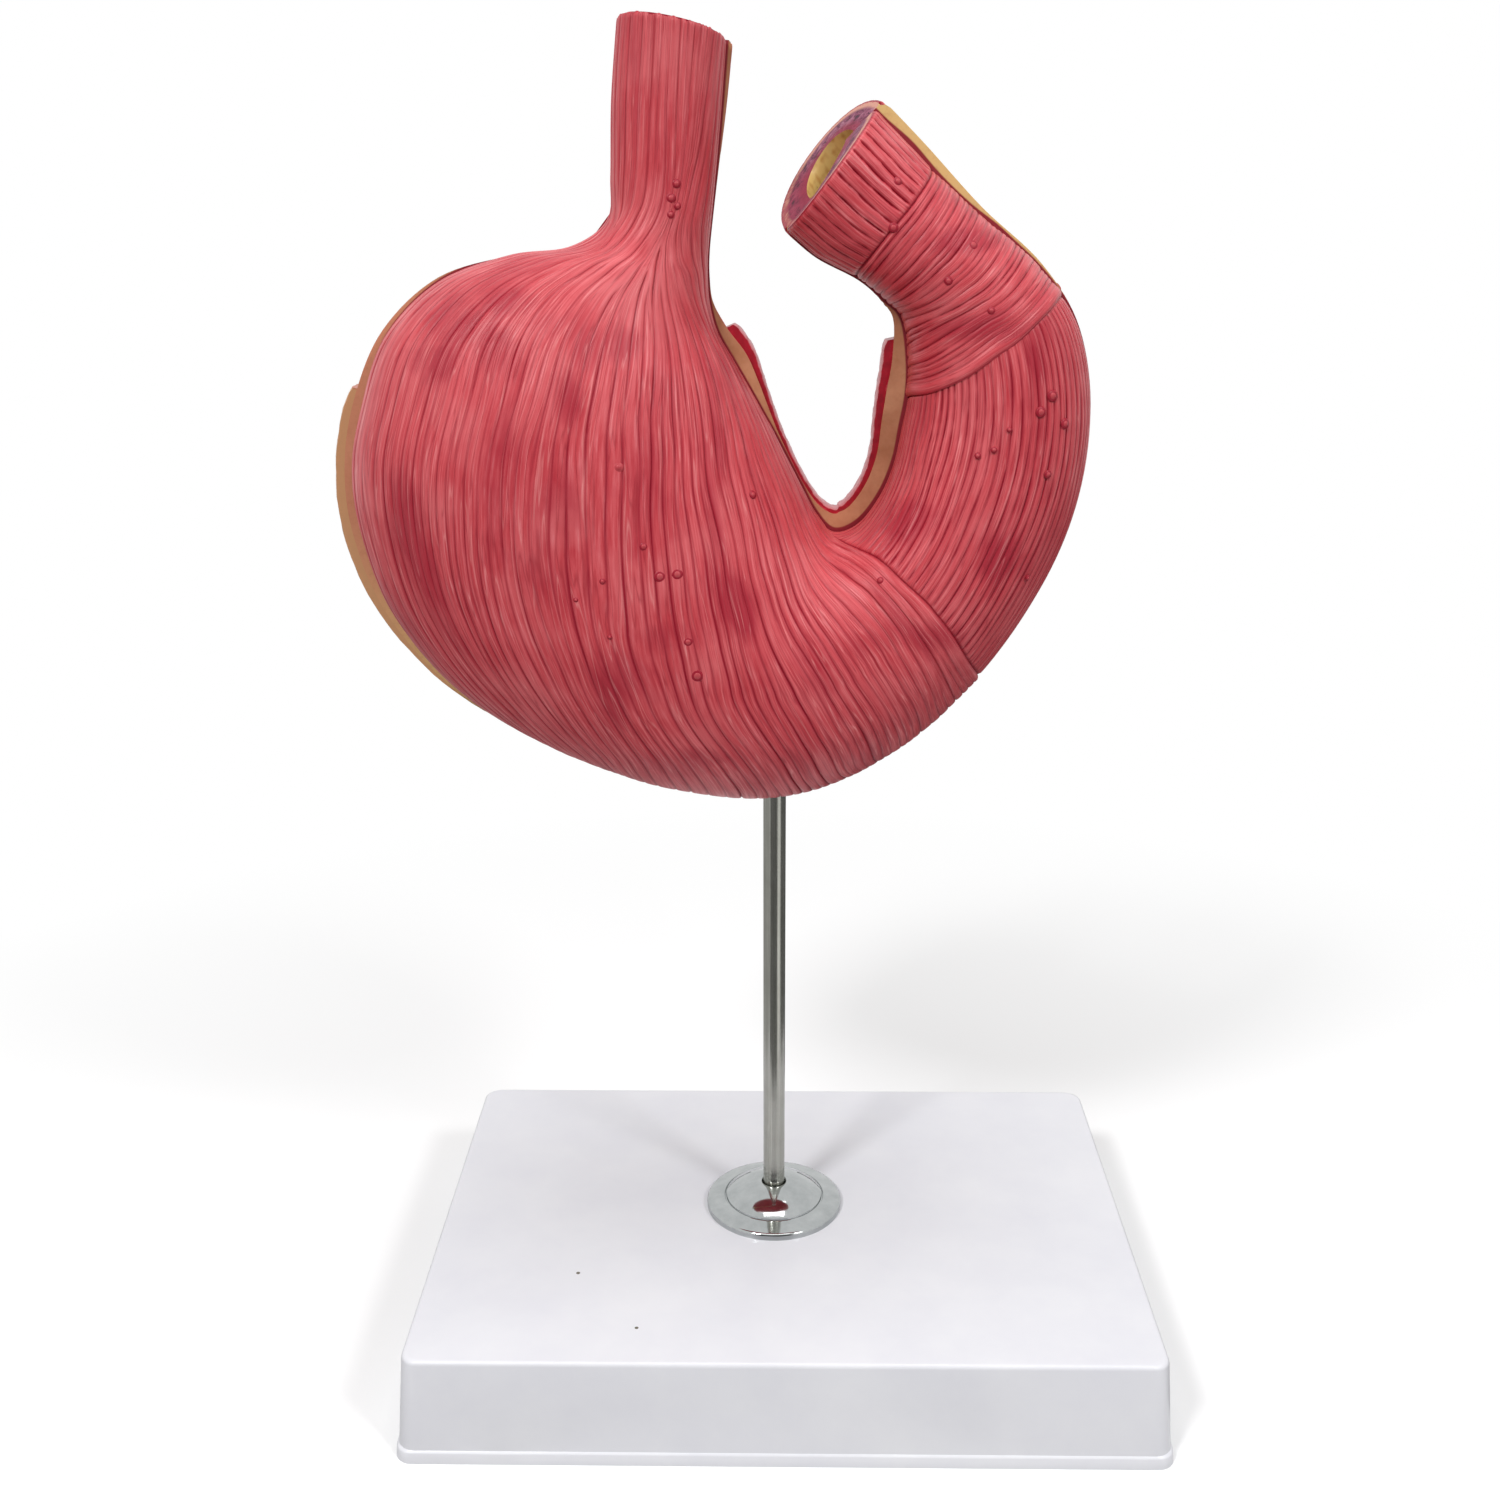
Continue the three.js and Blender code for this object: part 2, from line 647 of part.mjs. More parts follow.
function rearHalf() {
  const bore = socket_radius + fit_clearance;
  const bore_top = socket_top + fit_clearance;
  const outside = bore + socket_boss_wall;
  const boss = turned([
    [0, socket_boss_root],
    [outside, socket_boss_root],
    [outside, bore_top],
    [outside / 2, bore_top + socket_boss_top],
    [0, bore_top + socket_boss_top],
  ]);
  const hole = bar(bore, -socket_boss_root, bore_top);
  const body = halfShell("rear")
    .add(omentumRidge("lesser", lesser_ridge, lesser_ridge_widths))
    .add(omentumRidge("greater", greater_ridge, greater_ridge_widths))
    .add(solid(boss.translate(0, rod_behind_parting, 0)))
    .subtract(solid(hole.translate(0, rod_behind_parting, 0)));
  return cutInserts(body, 1);
}

function frontHalf() {
  return cutInserts(halfShell("front"), -1).translate([0, -halves_gap, 0]);
}

// A magnet lies just below its rim, on the front or on the rear side.
function magnet(place, side) {
  const { x, y: z } = rimPoint(place);
  const ends = [side * magnet_recess, side * (magnet_recess + magnet_height)];
  ends.sort((a, b) => a - b);
  const gap = side < 0 ? halves_gap : 0;
  return barAlongY(magnet_radius, ends[0] - gap, ends[1] - gap, x, z);
}

function locatingPin(place) {
  const { x, y: z } = rimPoint(place);
  return barAlongY(pin_radius, -pin_projection, pin_length - pin_projection, x, z);
}

const materials = {
  base: { color: 0xdedee2, roughness: 0.5, metalness: 0 },
  steel: { color: 0x8b8b84, roughness: 0.35, metalness: 1 },
  chrome: { color: 0xd6d9da, roughness: 0.08, metalness: 1 },
  zinc: { color: 0xb4b6b4, roughness: 0.4, metalness: 1 },
  sleeve: { color: 0xd9d6cc, roughness: 0.5, metalness: 0 },
  muscle: { color: 0xc8505a, roughness: 0.4, metalness: 0 },
  rear: { color: 0xbe4a56, roughness: 0.4, metalness: 0 },
  magnet: { color: 0xa9abad, roughness: 0.25, metalness: 1 },
};

const part = new THREE.Group();
const stomach = new THREE.Group();
stomach.position.set(rod_x, parting_y, stomach_bottom);
part.add(stomach);

// Adds one named piece, from a geometry or a solid, with its own material.
function add(group, name, finish, body) {
  const geometry = body.isBufferGeometry ? body : geometryOf(body);
  const mesh = new THREE.Mesh(geometry, new THREE.MeshStandardMaterial(materials[finish]));
  mesh.name = name;
  group.add(mesh);
}

add(part, "base_shell", "base", baseShell());
add(part, "base_plate", "base", basePlate());
screwPlaces().forEach((place, i) => {
  add(part, `base_screw_${i + 1}`, "zinc", baseScrew(place));
});
add(part, "rod", "steel", rod());
add(part, "rod_upper_nut", "zinc", nut(base_height));
add(part, "rod_washer", "zinc", washer());
add(part, "rod_lower_nut", "zinc", nut(nut_floor - washer_height - nut_height));
add(part, "rod_cover", "chrome", rodCover());
add(stomach, "rod_socket", "sleeve", rodSocket().translate(0, rod_behind_parting, 0));
add(stomach, "rear_half", "rear", rearHalf());
add(stomach, "front_half", "muscle", frontHalf());
magnet_places.forEach((place, i) => {
  add(stomach, `rear_magnet_${i + 1}`, "magnet", magnet(place, 1));
  add(stomach, `front_magnet_${i + 1}`, "magnet", magnet(place, -1));
});
pin_places.forEach((place, i) => {
  add(stomach, `locating_pin_${i + 1}`, "zinc", locatingPin(place));
});

export default part;
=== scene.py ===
import math

import bmesh
import bpy
import numpy as np
from mathutils import Matrix, Vector


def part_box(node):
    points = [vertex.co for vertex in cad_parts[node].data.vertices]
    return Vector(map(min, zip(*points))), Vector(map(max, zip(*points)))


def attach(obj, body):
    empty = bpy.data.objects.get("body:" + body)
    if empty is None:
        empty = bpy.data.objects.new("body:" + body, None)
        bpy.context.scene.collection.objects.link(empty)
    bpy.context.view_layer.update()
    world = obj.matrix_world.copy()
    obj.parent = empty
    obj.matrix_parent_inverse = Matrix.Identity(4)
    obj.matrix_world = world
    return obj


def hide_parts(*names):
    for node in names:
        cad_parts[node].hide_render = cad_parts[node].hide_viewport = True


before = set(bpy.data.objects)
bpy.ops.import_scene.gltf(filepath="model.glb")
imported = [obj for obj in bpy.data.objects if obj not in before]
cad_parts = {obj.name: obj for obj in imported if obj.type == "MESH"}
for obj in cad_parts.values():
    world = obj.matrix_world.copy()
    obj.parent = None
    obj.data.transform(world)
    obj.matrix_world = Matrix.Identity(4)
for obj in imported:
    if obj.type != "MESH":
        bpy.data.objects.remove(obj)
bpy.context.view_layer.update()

MM = 0.001

# Sizes in millimetres, as the solids have them but for BOSS_ROOT, which is 2.5 mm higher here
BASE_HEIGHT = 28.5
BASE_SIZE = (191.0, 136.0)
BASE_DRAFT = 2.0
BASE_CORNER = 2.5
LIP_HEIGHT = 3.0
LIP_PROUD = 0.5
SHELL_WALL = 3.0
SHELL_TOP = 4.0
PLATE_THICKNESS = 3.0
POST_RADIUS = 4.5
POST_BORE = 1.65
BOSS_RADIUS = 13.0
BOSS_DEPTH = 4.0
ROD_HOLE = 3.4
SOCKET_BORE = 5.1
SOCKET_WALL = 2.6
BOSS_ROOT = 7.5
SOCKET_TOP = 36.6
ROD_PLACE = (-2.6, 3.4)
ROD_RADIUS = 3.0
ROD_BEHIND_PARTING = 8.4
ROD_FREE_LENGTH = 125.0
HALVES_GAP = 0.3
FULLNESS = 2.15
STOMACH_PLACE = np.array([ROD_PLACE[0], ROD_PLACE[1] - ROD_BEHIND_PARTING, BASE_HEIGHT + ROD_FREE_LENGTH])

# The stomach from the oesophagus to the duodenum: the lesser curve (x, z), the greater curve (x, z),
# the depth of the front and the rear half, and how far the rear rim shows on each curve
STATIONS = np.array([
    [-10.8, 182.6, -36.4, 187.2, 12.5, 14, 1.3, -0.6],
    [-12, 169, -38.1, 170, 12.5, 14, 1, -0.6],
    [-13.4, 155, -38.7, 153.5, 12.5, 14.5, 0.5, -0.6],
    [-14.5, 145, -39.7, 144, 13.5, 15.5, 0.3, -0.6],
    [-15.4, 137, -48.4, 138.3, 16, 18, 0.3, -0.6],
    [-15.6, 131, -62.4, 136.5, 20, 23, 0.4, -0.3],
    [-15.2, 125, -79.4, 130.5, 24.5, 29, 0.8, 0.9],
    [-13.4, 118.5, -92.6, 118.3, 29, 35, 2.3, 1.6],
    [-9.6, 111.8, -99.9, 103, 32.5, 40, 3.3, 2],
    [-6, 105.6, -103.8, 87, 34.5, 43, 2.6, 1.8],
    [-2.3, 99, -102.4, 70, 35.5, 45, 1.5, 2.4],
    [1, 93.1, -95.4, 50, 36, 46, 0.7, 2.3],
    [6.6, 82.4, -79.4, 30.5, 36, 46, 0.5, 2.1],
    [10.3, 75.6, -55.4, 15.5, 35, 44.5, 1.7, 1.6],
    [14.6, 71.4, -27.4, 5.5, 33.5, 42, 4, 0.4],
    [20.2, 73.6, 2.6, 3.2, 31.5, 39, 4, -0.5],
    [25.2, 80.2, 29.6, 14.3, 29, 36, 4, -0.6],
    [28.4, 88.2, 51.3, 34.5, 27, 33, 4.2, -0.6],
    [29.9, 96.4, 65.6, 56.5, 25, 31, 4.6, -0.6],
    [31.2, 104, 73.5, 76.8, 23.5, 29, 4.8, -0.2],
    [31.2, 112.2, 76, 99, 22, 27, 3.6, 0.2],
    [29.6, 121.3, 72.3, 119, 20.5, 25, 2, 0.2],
    [25.6, 125.3, 62.2, 133.2, 19.5, 23, 0.6, 0.9],
    [19.6, 130.2, 47.2, 145.4, 18.5, 22, 0.4, 1.6],
    [9.6, 135.3, 32.8, 158.2, 18, 21.5, 0.4, 2.9],
    [2.2, 141.3, 22.8, 168, 18, 21.5, 0.4, 2.8],
])
LAST = len(STATIONS) - 1
WALL = 6.0
TUBE_WALL = 5.0
LESSER, GREATER, DEPTH, BAND = slice(0, 2), slice(2, 4), {-1: 4, 1: 5}, (6, 7)
FRONT, REAR = -1, 1
DUODENUM_TILT, DUODENUM_TILT_FROM = {-1: 2.5, 1: 16.5}, 22.0
OESOPHAGUS_TILT, OESOPHAGUS_TILT_TO = 9.0, 2.0

# How deep the surfaces lie under the casting's outermost face
SKIN_TOP = 0.15
SKIN_FOOT = 1.8
CORE_TOP = 1.35


# A smooth run through the stations, at any place between them
def along_stations(values, station):
    station = np.clip(np.asarray(station, float), 0, LAST)
    i = np.minimum(np.floor(station).astype(int), LAST - 1)
    w = station - i
    if values.ndim == 2:
        w = w[..., None]
    p0, p1 = values[np.maximum(i - 1, 0)], values[i]
    p2, p3 = values[i + 1], values[np.minimum(i + 2, LAST)]
    v0, v1 = (p2 - p0) / 2, (p3 - p1) / 2
    return (2 * p1 - 2 * p2 + v0 + v1) * w**3 + (-3 * p1 + 3 * p2 - 2 * v0 - v1) * w**2 + v0 * w + p1


# How far ahead and behind a curve's direction is taken, in stations: further on the lesser curve, which
# turns sharply at its notch
LESSER_REACH, GREATER_REACH = 0.9, 0.3


def curve_point(curve, station, moved):
    values = STATIONS[:, curve]
    reach = LESSER_REACH if curve == LESSER else GREATER_REACH
    ahead = along_stations(values, station + reach) - along_stations(values, station - reach)
    ahead /= np.linalg.norm(ahead, axis=-1, keepdims=True)
    facing = 1 if curve == LESSER else -1
    out = np.stack([-ahead[..., 1], ahead[..., 0]], -1) * facing
    return along_stations(values, station) + out * np.broadcast_to(moved, np.shape(station))[..., None]


def smooth_step(x, low, high):
    t = np.clip((x - low) / (high - low), 0, 1)
    return t * t * (3 - 2 * t)


def tube_direction(before, end):
    middle = [along_stations(STATIONS[:, LESSER], s) + along_stations(STATIONS[:, GREATER], s) for s in (before, end)]
    ahead = middle[1] - middle[0]
    return ahead / np.linalg.norm(ahead)


DUODENUM_DIRECTION = tube_direction(LAST - 1.0, float(LAST))
OESOPHAGUS_DIRECTION = tube_direction(1.0, 0.0)


# Between which stations the front half's greater curve draws back by 1 mm, and comes out again
INSET_FROM, INSET_TO = (6.8, 8.4), (9.3, 14)


# How far that curve is drawn back in millimetres, so that the rear half's rim shows beside it
def front_inset(station):
    return smooth_step(station, *INSET_FROM) * (1 - smooth_step(station, *INSET_TO))


# A point of the stomach's surface in millimetres: station along it, angle round it in degrees from the
# lesser curve to the greater, and how deep under the outermost face
def stomach_point(side, station, angle, depth_under):
    station, angle = np.broadcast_arrays(np.asarray(station, float), np.asarray(angle, float))
    under = np.broadcast_to(depth_under, station.shape)
    band = [along_stations(STATIONS[:, b], station) for b in BAND] if side == REAR else [0.0, -front_inset(station)]
    lesser = curve_point(LESSER, station, band[0] - under)
    greater = curve_point(GREATER, station, band[1] - under)
    depth = along_stations(STATIONS[:, DEPTH[side]], station) - under
    turn, power = np.radians(angle), 2 / FULLNESS
    across = np.sign(np.cos(turn)) * np.abs(np.cos(turn)) ** power
    y = side * depth * np.maximum(0, np.sin(turn)) ** power
    place = lesser + (greater - lesser) * ((1 - across) / 2)[..., None]
    duodenum = smooth_step(station, DUODENUM_TILT_FROM, LAST)
    oesophagus = 1 - smooth_step(station, 0, OESOPHAGUS_TILT_TO)
    slope = np.tan(np.radians(duodenum * DUODENUM_TILT[side] - oesophagus * OESOPHAGUS_TILT)) * y
    direction = np.where((duodenum > 0)[..., None], DUODENUM_DIRECTION, OESOPHAGUS_DIRECTION)
    place = place + direction * slope[..., None]
    gap = HALVES_GAP if side == FRONT else 0
    return np.stack([place[..., 0], y - gap, place[..., 1]], -1) + STOMACH_PLACE


# The angle at which the surface is a given distance behind the parting plane
def angle_behind(side, station, distance):
    depth = along_stations(STATIONS[:, DEPTH[side]], station)
    return np.degrees(np.arcsin(np.clip(distance / depth, 0, 1) ** (FULLNESS / 2)))


# A slow wander between -1 and 1, the same in every run
def wander(x, seed):
    total = 0
    for k, (pace, share) in enumerate([(1.0, 0.5), (2.3, 0.3), (5.1, 0.2)]):
        total = total + share * np.sin(pace * x + 1.7 * np.asarray(seed) * (k + 1) + k)
    return total


# One value between 0 and 1 for each whole number, scattered
def scatter(number, seed):
    value = np.sin(np.asarray(number) * 12.9898 + seed * 78.233) * 43758.5453
    return value - np.floor(value)


# ---------------------------------------------------------------- camera

PHOTO_WIDTH = 1500
FOCAL_PIXELS = 1672.88
SENSOR_WIDTH = 36.0
CAMERA_PLACE = (-2.47, -414.46, 298.43)
PITCH, ROLL, YAW = 0.3097, -0.003, 0.0158

camera_data = bpy.data.cameras.new("camera")
camera_data.sensor_width = SENSOR_WIDTH
camera_data.lens = FOCAL_PIXELS / PHOTO_WIDTH * SENSOR_WIDTH
camera = bpy.data.objects.new("camera", camera_data)
bpy.context.scene.collection.objects.link(camera)
turn = Matrix.Rotation(YAW, 4, "Z") @ Matrix.Rotation(math.pi / 2 - PITCH, 4, "X") @ Matrix.Rotation(ROLL, 4, "Z")
camera.matrix_world = Matrix.Translation(Vector(CAMERA_PLACE) * MM) @ turn
bpy.context.scene.camera = camera


# Where the camera sees each point, in the photograph's pixels
def seen_at(points):
    local = (points * MM - np.array(camera.matrix_world.translation)) @ np.array(camera.matrix_world.to_3x3())
    return PHOTO_WIDTH / 2 + FOCAL_PIXELS * np.stack([local[..., 0], -local[..., 1]], -1) / -local[..., 2, None]


# ---------------------------------------------------------------- muscle fibres

# Lines of muscle fibre on the body and the oesophagus, as (station, angle), each under its number.
# 0 is the edge beside the antrum and 64 the greater curve.
BODY_FIBRES = {
    0: [(0, 0), (6, 0), (12.4, 0), (13.4, 0), (13.8, 4.5), (14.2, 11), (14.6, 19.5), (15, 28), (15.5, 40),
        (16, 56), (16.4, 73), (16.7, 90), (16.87, 108), (16.95, 130), (17, 155), (17, 180)],
    6: [(0, 0), (5, 0), (9.4, 0), (10.4, 0), (11, 3), (12, 8), (13, 12.5), (14, 19.5), (14.5, 26),
        (15, 35), (15.5, 48), (16, 66), (16.35, 83), (16.6, 103), (16.72, 125), (16.78, 150), (16.8, 180)],
    12: [(0, 0), (2, 0.5), (3.5, 1), (4.5, 1.5), (5.5, 2), (6.5, 3), (7.5, 4.5), (8.5, 6.5), (9.5, 8.5),
         (10.5, 11), (11.5, 14.5), (12.5, 18.5), (13.3, 23), (14, 29), (14.5, 36), (15, 45.5), (15.5, 58),
         (16, 78), (16.3, 97), (16.45, 118), (16.5, 140), (16.55, 180)],
    16: [(0, 19), (1.5, 24), (3, 31), (3.5, 29), (4, 24), (4.5, 19), (5, 14.5), (6, 10.5), (7, 8.5),
         (8, 9.5), (9, 12.5), (10.5, 17.5), (11.5, 21.5), (12.5, 26.5), (13.3, 32), (14, 39.5),
         (14.5, 48), (15, 58.5), (15.5, 73.5), (15.9, 92), (16.15, 112), (16.28, 135), (16.32, 180)],
    20: [(0, 38), (1.5, 46), (2.2, 54), (3, 60), (3.5, 57), (4, 50), (4.5, 42), (5, 33), (6, 24), (7, 17),
         (8, 17.5), (9, 20), (10.5, 24.5), (11.5, 29), (12.5, 34.5), (13.3, 41.5), (14, 52), (14.5, 62),
         (15, 75), (15.5, 94), (15.8, 113), (15.95, 134), (16, 155), (16.05, 180)],
    24: [(0, 47), (1.5, 53), (2.2, 59.5), (3, 64), (3.5, 61.5), (4, 55), (4.5, 47.5), (5, 39), (6, 28),
         (7, 22), (8, 23.5), (9, 27), (10, 31.5), (11, 36.5), (12, 43.5), (13, 53), (13.5, 59.5), (14, 68),
         (14.5, 79), (15, 94), (15.3, 109), (15.5, 125), (15.62, 145), (15.7, 160), (15.75, 180)],
    30: [(0, 59), (1.5, 61.5), (2.2, 65), (3, 69), (3.6, 67), (4.2, 59), (5, 49), (6, 39.5), (7, 34.5),
         (8, 37), (9, 40), (10, 44.5), (11, 49.5), (12, 56.5), (13, 68), (13.5, 76.5), (14, 87.5),
         (14.5, 102), (14.85, 117), (15.05, 132), (15.2, 150), (15.3, 180)],
    36: [(0, 71), (1.5, 70), (2.2, 71.5), (3, 75), (3.7, 73), (4.3, 67), (5, 60), (6, 53), (7, 50.5),
         (8, 54), (9, 58), (10, 62), (11, 68), (12, 78.5), (13, 92.5), (13.5, 103), (14, 115.5),
         (14.3, 127), (14.5, 140), (14.6, 155), (14.65, 180)],
    42: [(0, 83), (1, 81), (2, 79), (2.8, 80.5), (3.7, 82), (4.5, 79), (5.2, 77), (6, 76.5), (7, 78),
         (8, 81.5), (9, 85), (10, 89), (11, 94.5), (12, 104.5), (12.5, 112), (13, 122), (13.4, 133),
         (13.6, 143), (13.75, 156), (13.85, 180)],
    48: [(0, 102), (1, 101), (2, 102), (2.5, 105), (3, 110), (3.5, 109), (4, 106), (5, 102.5), (6, 101),
         (7, 101.5), (8, 103), (9, 106), (10, 110.5), (11, 117), (12, 127), (12.5, 134.5), (13, 146),
         (13.2, 153), (13.4, 166), (13.5, 180)],
    54: [(0, 124), (1, 122), (2, 123), (3, 130), (3.4, 129), (3.7, 124), (4.1, 120), (5, 119), (6, 118),
         (7, 119.5), (8, 121.5), (9, 124), (10, 127.5), (11, 132), (12, 139), (12.5, 146), (12.9, 157),
         (13.1, 168), (13.15, 180)],
    60: [(0, 151), (1.5, 151), (2.6, 149), (3.2, 141), (3.6, 134), (4, 137), (4.4, 143), (5, 143),
         (6, 142), (7, 141.5), (8, 142), (9, 143), (10, 144.5), (11, 147.5), (12, 154), (12.6, 165),
         (12.8, 180)],
    64: [(0, 180), (2, 180), (4, 180), (6, 180), (8, 180), (10, 180), (11.6, 180)],
}
BODY_COUNT = 64

# The edges of the three bands of muscle beyond the body, as (angle, station)
ANTRUM_START = [(0, 13.4), (4.5, 13.8), (11, 14.2), (19.5, 14.6), (28, 15), (40, 15.5), (56, 16),
                (73, 16.4), (90, 16.7), (108, 16.87), (130, 16.95), (155, 17), (180, 17)]
ANTRUM_END = [(0, 18.9), (30, 19.3), (60, 19.95), (90, 20.65), (120, 21.2), (150, 21.5), (180, 21.55)]
SLEEVE_START = [(0, 23.1), (45, 23.33), (90, 23.55), (135, 23.68), (180, 23.75)]
ANTRUM_COUNT = 36
PYLORUS_COUNT = 30
SLEEVE_COUNT = 18
LINE_STEPS = 200

# The share of each fibre that lies behind a station, so that fibres side by side keep pace
PACE = [(0, 0.0), (3.5, 0.15), (7, 0.35), (11, 0.6)]


# A given line smoothed and walked at that pace
def walked_line(points):
    points = np.array(points, float)
    count = len(points)
    x = np.linspace(0, count - 1, 30 * count)
    i = np.minimum(x.astype(int), count - 2)
    w = (x - i)[:, None]
    p0, p1 = points[np.maximum(i - 1, 0)], points[i]
    p2, p3 = points[i + 1], points[np.minimum(i + 2, count - 1)]
    v0, v1 = (p2 - p0) / 2, (p3 - p1) / 2
    line = (2 * p1 - 2 * p2 + v0 + v1) * w**3 + (-3 * p1 + 3 * p2 - 2 * v0 - v1) * w**2 + v0 * w + p1
    line[:, 0] = np.clip(line[:, 0], 0, LAST)
    line[:, 1] = np.clip(line[:, 1], 0, 180)
    place = stomach_point(FRONT, line[:, 0], line[:, 1], 0)
    walked = np.r_[0, np.cumsum(np.linalg.norm(np.diff(place, axis=0), axis=1))]
    furthest = np.maximum.accumulate(line[:, 0])
    shares = [share for _, share in PACE] + [1.0]
    marks = [np.interp(station, furthest, walked) for station, _ in PACE] + [walked[-1]]
    paced = np.interp(np.linspace(0, 1, LINE_STEPS + 1), shares, marks)
    return np.stack([np.interp(paced, walked, line[:, 0]), np.interp(paced, walked, line[:, 1])], -1)


# Values between the rows of a table, which pass smoothly through every row
def smooth_between(keys, values, x):
    slopes = np.gradient(values, keys, axis=0)
    i = np.clip(np.searchsorted(keys, x, side="right") - 1, 0, len(keys) - 2)
    gap = keys[i + 1] - keys[i]
    w = (x - keys[i]) / gap
    if values.ndim == 3:
        w, gap = w[:, None, None], gap[:, None, None]
    return ((2 * w**3 - 3 * w**2 + 1) * values[i] + (w**3 - 2 * w**2 + w) * gap * slopes[i]
            + (-2 * w**3 + 3 * w**2) * values[i + 1] + (w**3 - w**2) * gap * slopes[i + 1])


# All the body's fibres on an even grid of quarter numbers
def body_field():
    keys = np.array(sorted(BODY_FIBRES), float)
    lines = np.array([walked_line(BODY_FIBRES[int(k)]) for k in keys])
    field = smooth_between(keys, lines, np.arange(0, BODY_COUNT + 0.01, 0.25))
    field[..., 0] = np.clip(field[..., 0], 0, LAST)
    field[..., 1] = np.clip(field[..., 1], 0, 180)
    return field


BODY_FIELD = body_field()


# Reads a table of values between its rows and columns
def between(table, row, column):
    i = np.clip(np.floor(row), 0, table.shape[0] - 2).astype(int)
    j = np.clip(np.floor(column), 0, table.shape[1] - 2).astype(int)
    f, g = row - i, column - j
    return (table[i, j] * (1 - f) * (1 - g) + table[i + 1, j] * f * (1 - g)
            + table[i, j + 1] * (1 - f) * g + table[i + 1, j + 1] * f * g)


def body_patch(across, along):
    return tuple(between(BODY_FIELD[..., k], across * 4, along * LINE_STEPS) for k in (0, 1))


def edge_station(edge, angle):
    edge = np.array(edge, float)
    return smooth_between(edge[:, 0], edge[:, 1], angle)


def antrum_patch(across, along):
    angle = 180 * across / ANTRUM_COUNT
    start, end = edge_station(ANTRUM_START, angle), edge_station(ANTRUM_END, angle)
    fall = 5 * np.sin(np.radians(angle)) * along
    return start + (end - start) * along, angle - fall


def pylorus_patch(across, along):
    angle = 180 * along
    start, end = edge_station(ANTRUM_END, angle), edge_station(SLEEVE_START, angle)
    return start + (end - start) * across / PYLORUS_COUNT, angle


def sleeve_patch(across, along):
    angle = 180 * across / SLEEVE_COUNT
    start = edge_station(SLEEVE_START, angle)
    return start + (LAST - start) * along, angle


# Where a fibre's columns of vertices stand between one groove and the next, and how far its rows crowd
# towards its ends
COLUMN_PLACES = np.array([0, 0.1, 0.22, 0.5, 0.78, 0.9])
CUTS = len(COLUMN_PLACES) - 1
END_CROWDING = 0.6


# The edges of some faces. An extrusion that isn't given them leaves its old faces inside the piece.
def edges_of(faces):
    return list(dict.fromkeys(edge for face in faces for edge in face.edges))


# Pulls a grid down in steps into a slab, closed all round, whose top is the grid itself
def thickened_grid(across, along, steps):
    mesh = bmesh.new()
    bmesh.ops.create_grid(mesh, x_segments=across, y_segments=along, size=0.5)
    faces = mesh.faces[:]
    for number, step in enumerate(steps):
        made = bmesh.ops.extrude_face_region(mesh, geom=faces + edges_of(faces) if number else faces)
        faces = [g for g in made["geom"] if isinstance(g, bmesh.types.BMFace)]
        lower = [g for g in made["geom"] if isinstance(g, bmesh.types.BMVert)]
        bmesh.ops.translate(mesh, verts=lower, vec=(0, 0, -step))
    bmesh.ops.recalc_face_normals(mesh, faces=mesh.faces)
    return mesh


# A flat slab in the space of a patch: fine on top, coarse below
def fibre_slab(columns, rows):
    mesh = thickened_grid(columns, rows, [1.0])
    top = [e for e in mesh.edges if all(v.co.z > -0.5 for v in e.verts)]
    bmesh.ops.subdivide_edges(mesh, edges=top, cuts=CUTS, use_grid_fill=True)
    return mesh


def vertex_places(mesh):
    return np.array([v.co for v in mesh.verts])


# Gives a mesh's vertices their places in millimetres and turns its faces outwards
def place_vertices(mesh, places):
    for vertex, place in zip(mesh.verts, places * MM):
        vertex.co = place
    if mesh.calc_volume(signed=True) < 0:
        bmesh.ops.reverse_faces(mesh, faces=mesh.faces)


# Writes one number on each vertex, for the materials to read
def write_on_vertices(mesh, name, values):
    layer = mesh.verts.layers.float.new(name)
    for vertex, value in zip(mesh.verts, np.broadcast_to(values, len(mesh.verts)).tolist()):
        vertex[layer] = value


# Depth of a groove's narrow cut and of the rounding beside it
CUT_DEPTH, CUT_HALF = 0.3, 0.17
ROUND_DEPTH, ROUND_HALF = 0.16, 0.62


# How deep the grooves are at each place: the further apart the numbers are, the more of them have one,
# and each fades in and out along its way
def groove_depth(across, along, line_place, spacing, count, spread, seed):
    depth = np.zeros(across.shape)
    nearest = np.round(across).astype(int)
    for step in range(-3, 4):
        number = np.clip(nearest + step, 0, count)
        level = np.zeros(number.shape)
        for power in (2, 4, 8, 16):
            level += number % power == 0
        room = spacing * 2**level * (0.85 + 0.3 * scatter(number, seed))
        shown = smooth_step(room, spread * 0.78, spread * 1.08)
        strength = 0.5 + 0.5 * scatter(number, seed + 2)
        fading = np.clip(0.8 + 0.5 * wander(along * 15, number * 1.3 + seed), 0.12, 1)
        away = np.abs(across - line_place(number)) * spacing
        here = CUT_DEPTH * np.exp(-(away / CUT_HALF) ** 2) + ROUND_DEPTH * np.exp(-(away / ROUND_HALF) ** 2)
        depth = np.maximum(depth, here * shown * strength * fading)
    return depth


# Puts a finished mesh into the scene
def placed(name, mesh):
    data = bpy.data.meshes.new(name)
    mesh.to_mesh(data)
    mesh.free()
    piece = bpy.data.objects.new(name, data)
    bpy.context.scene.collection.objects.link(piece)
    return piece


def finish_piece(name, mesh, materials, body):
    piece = placed(name, mesh)
    for material in materials:
        piece.data.materials.append(material)
    piece.data.polygons.foreach_set("use_smooth", [True] * len(piece.data.polygons))
    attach(piece, body)
    return piece


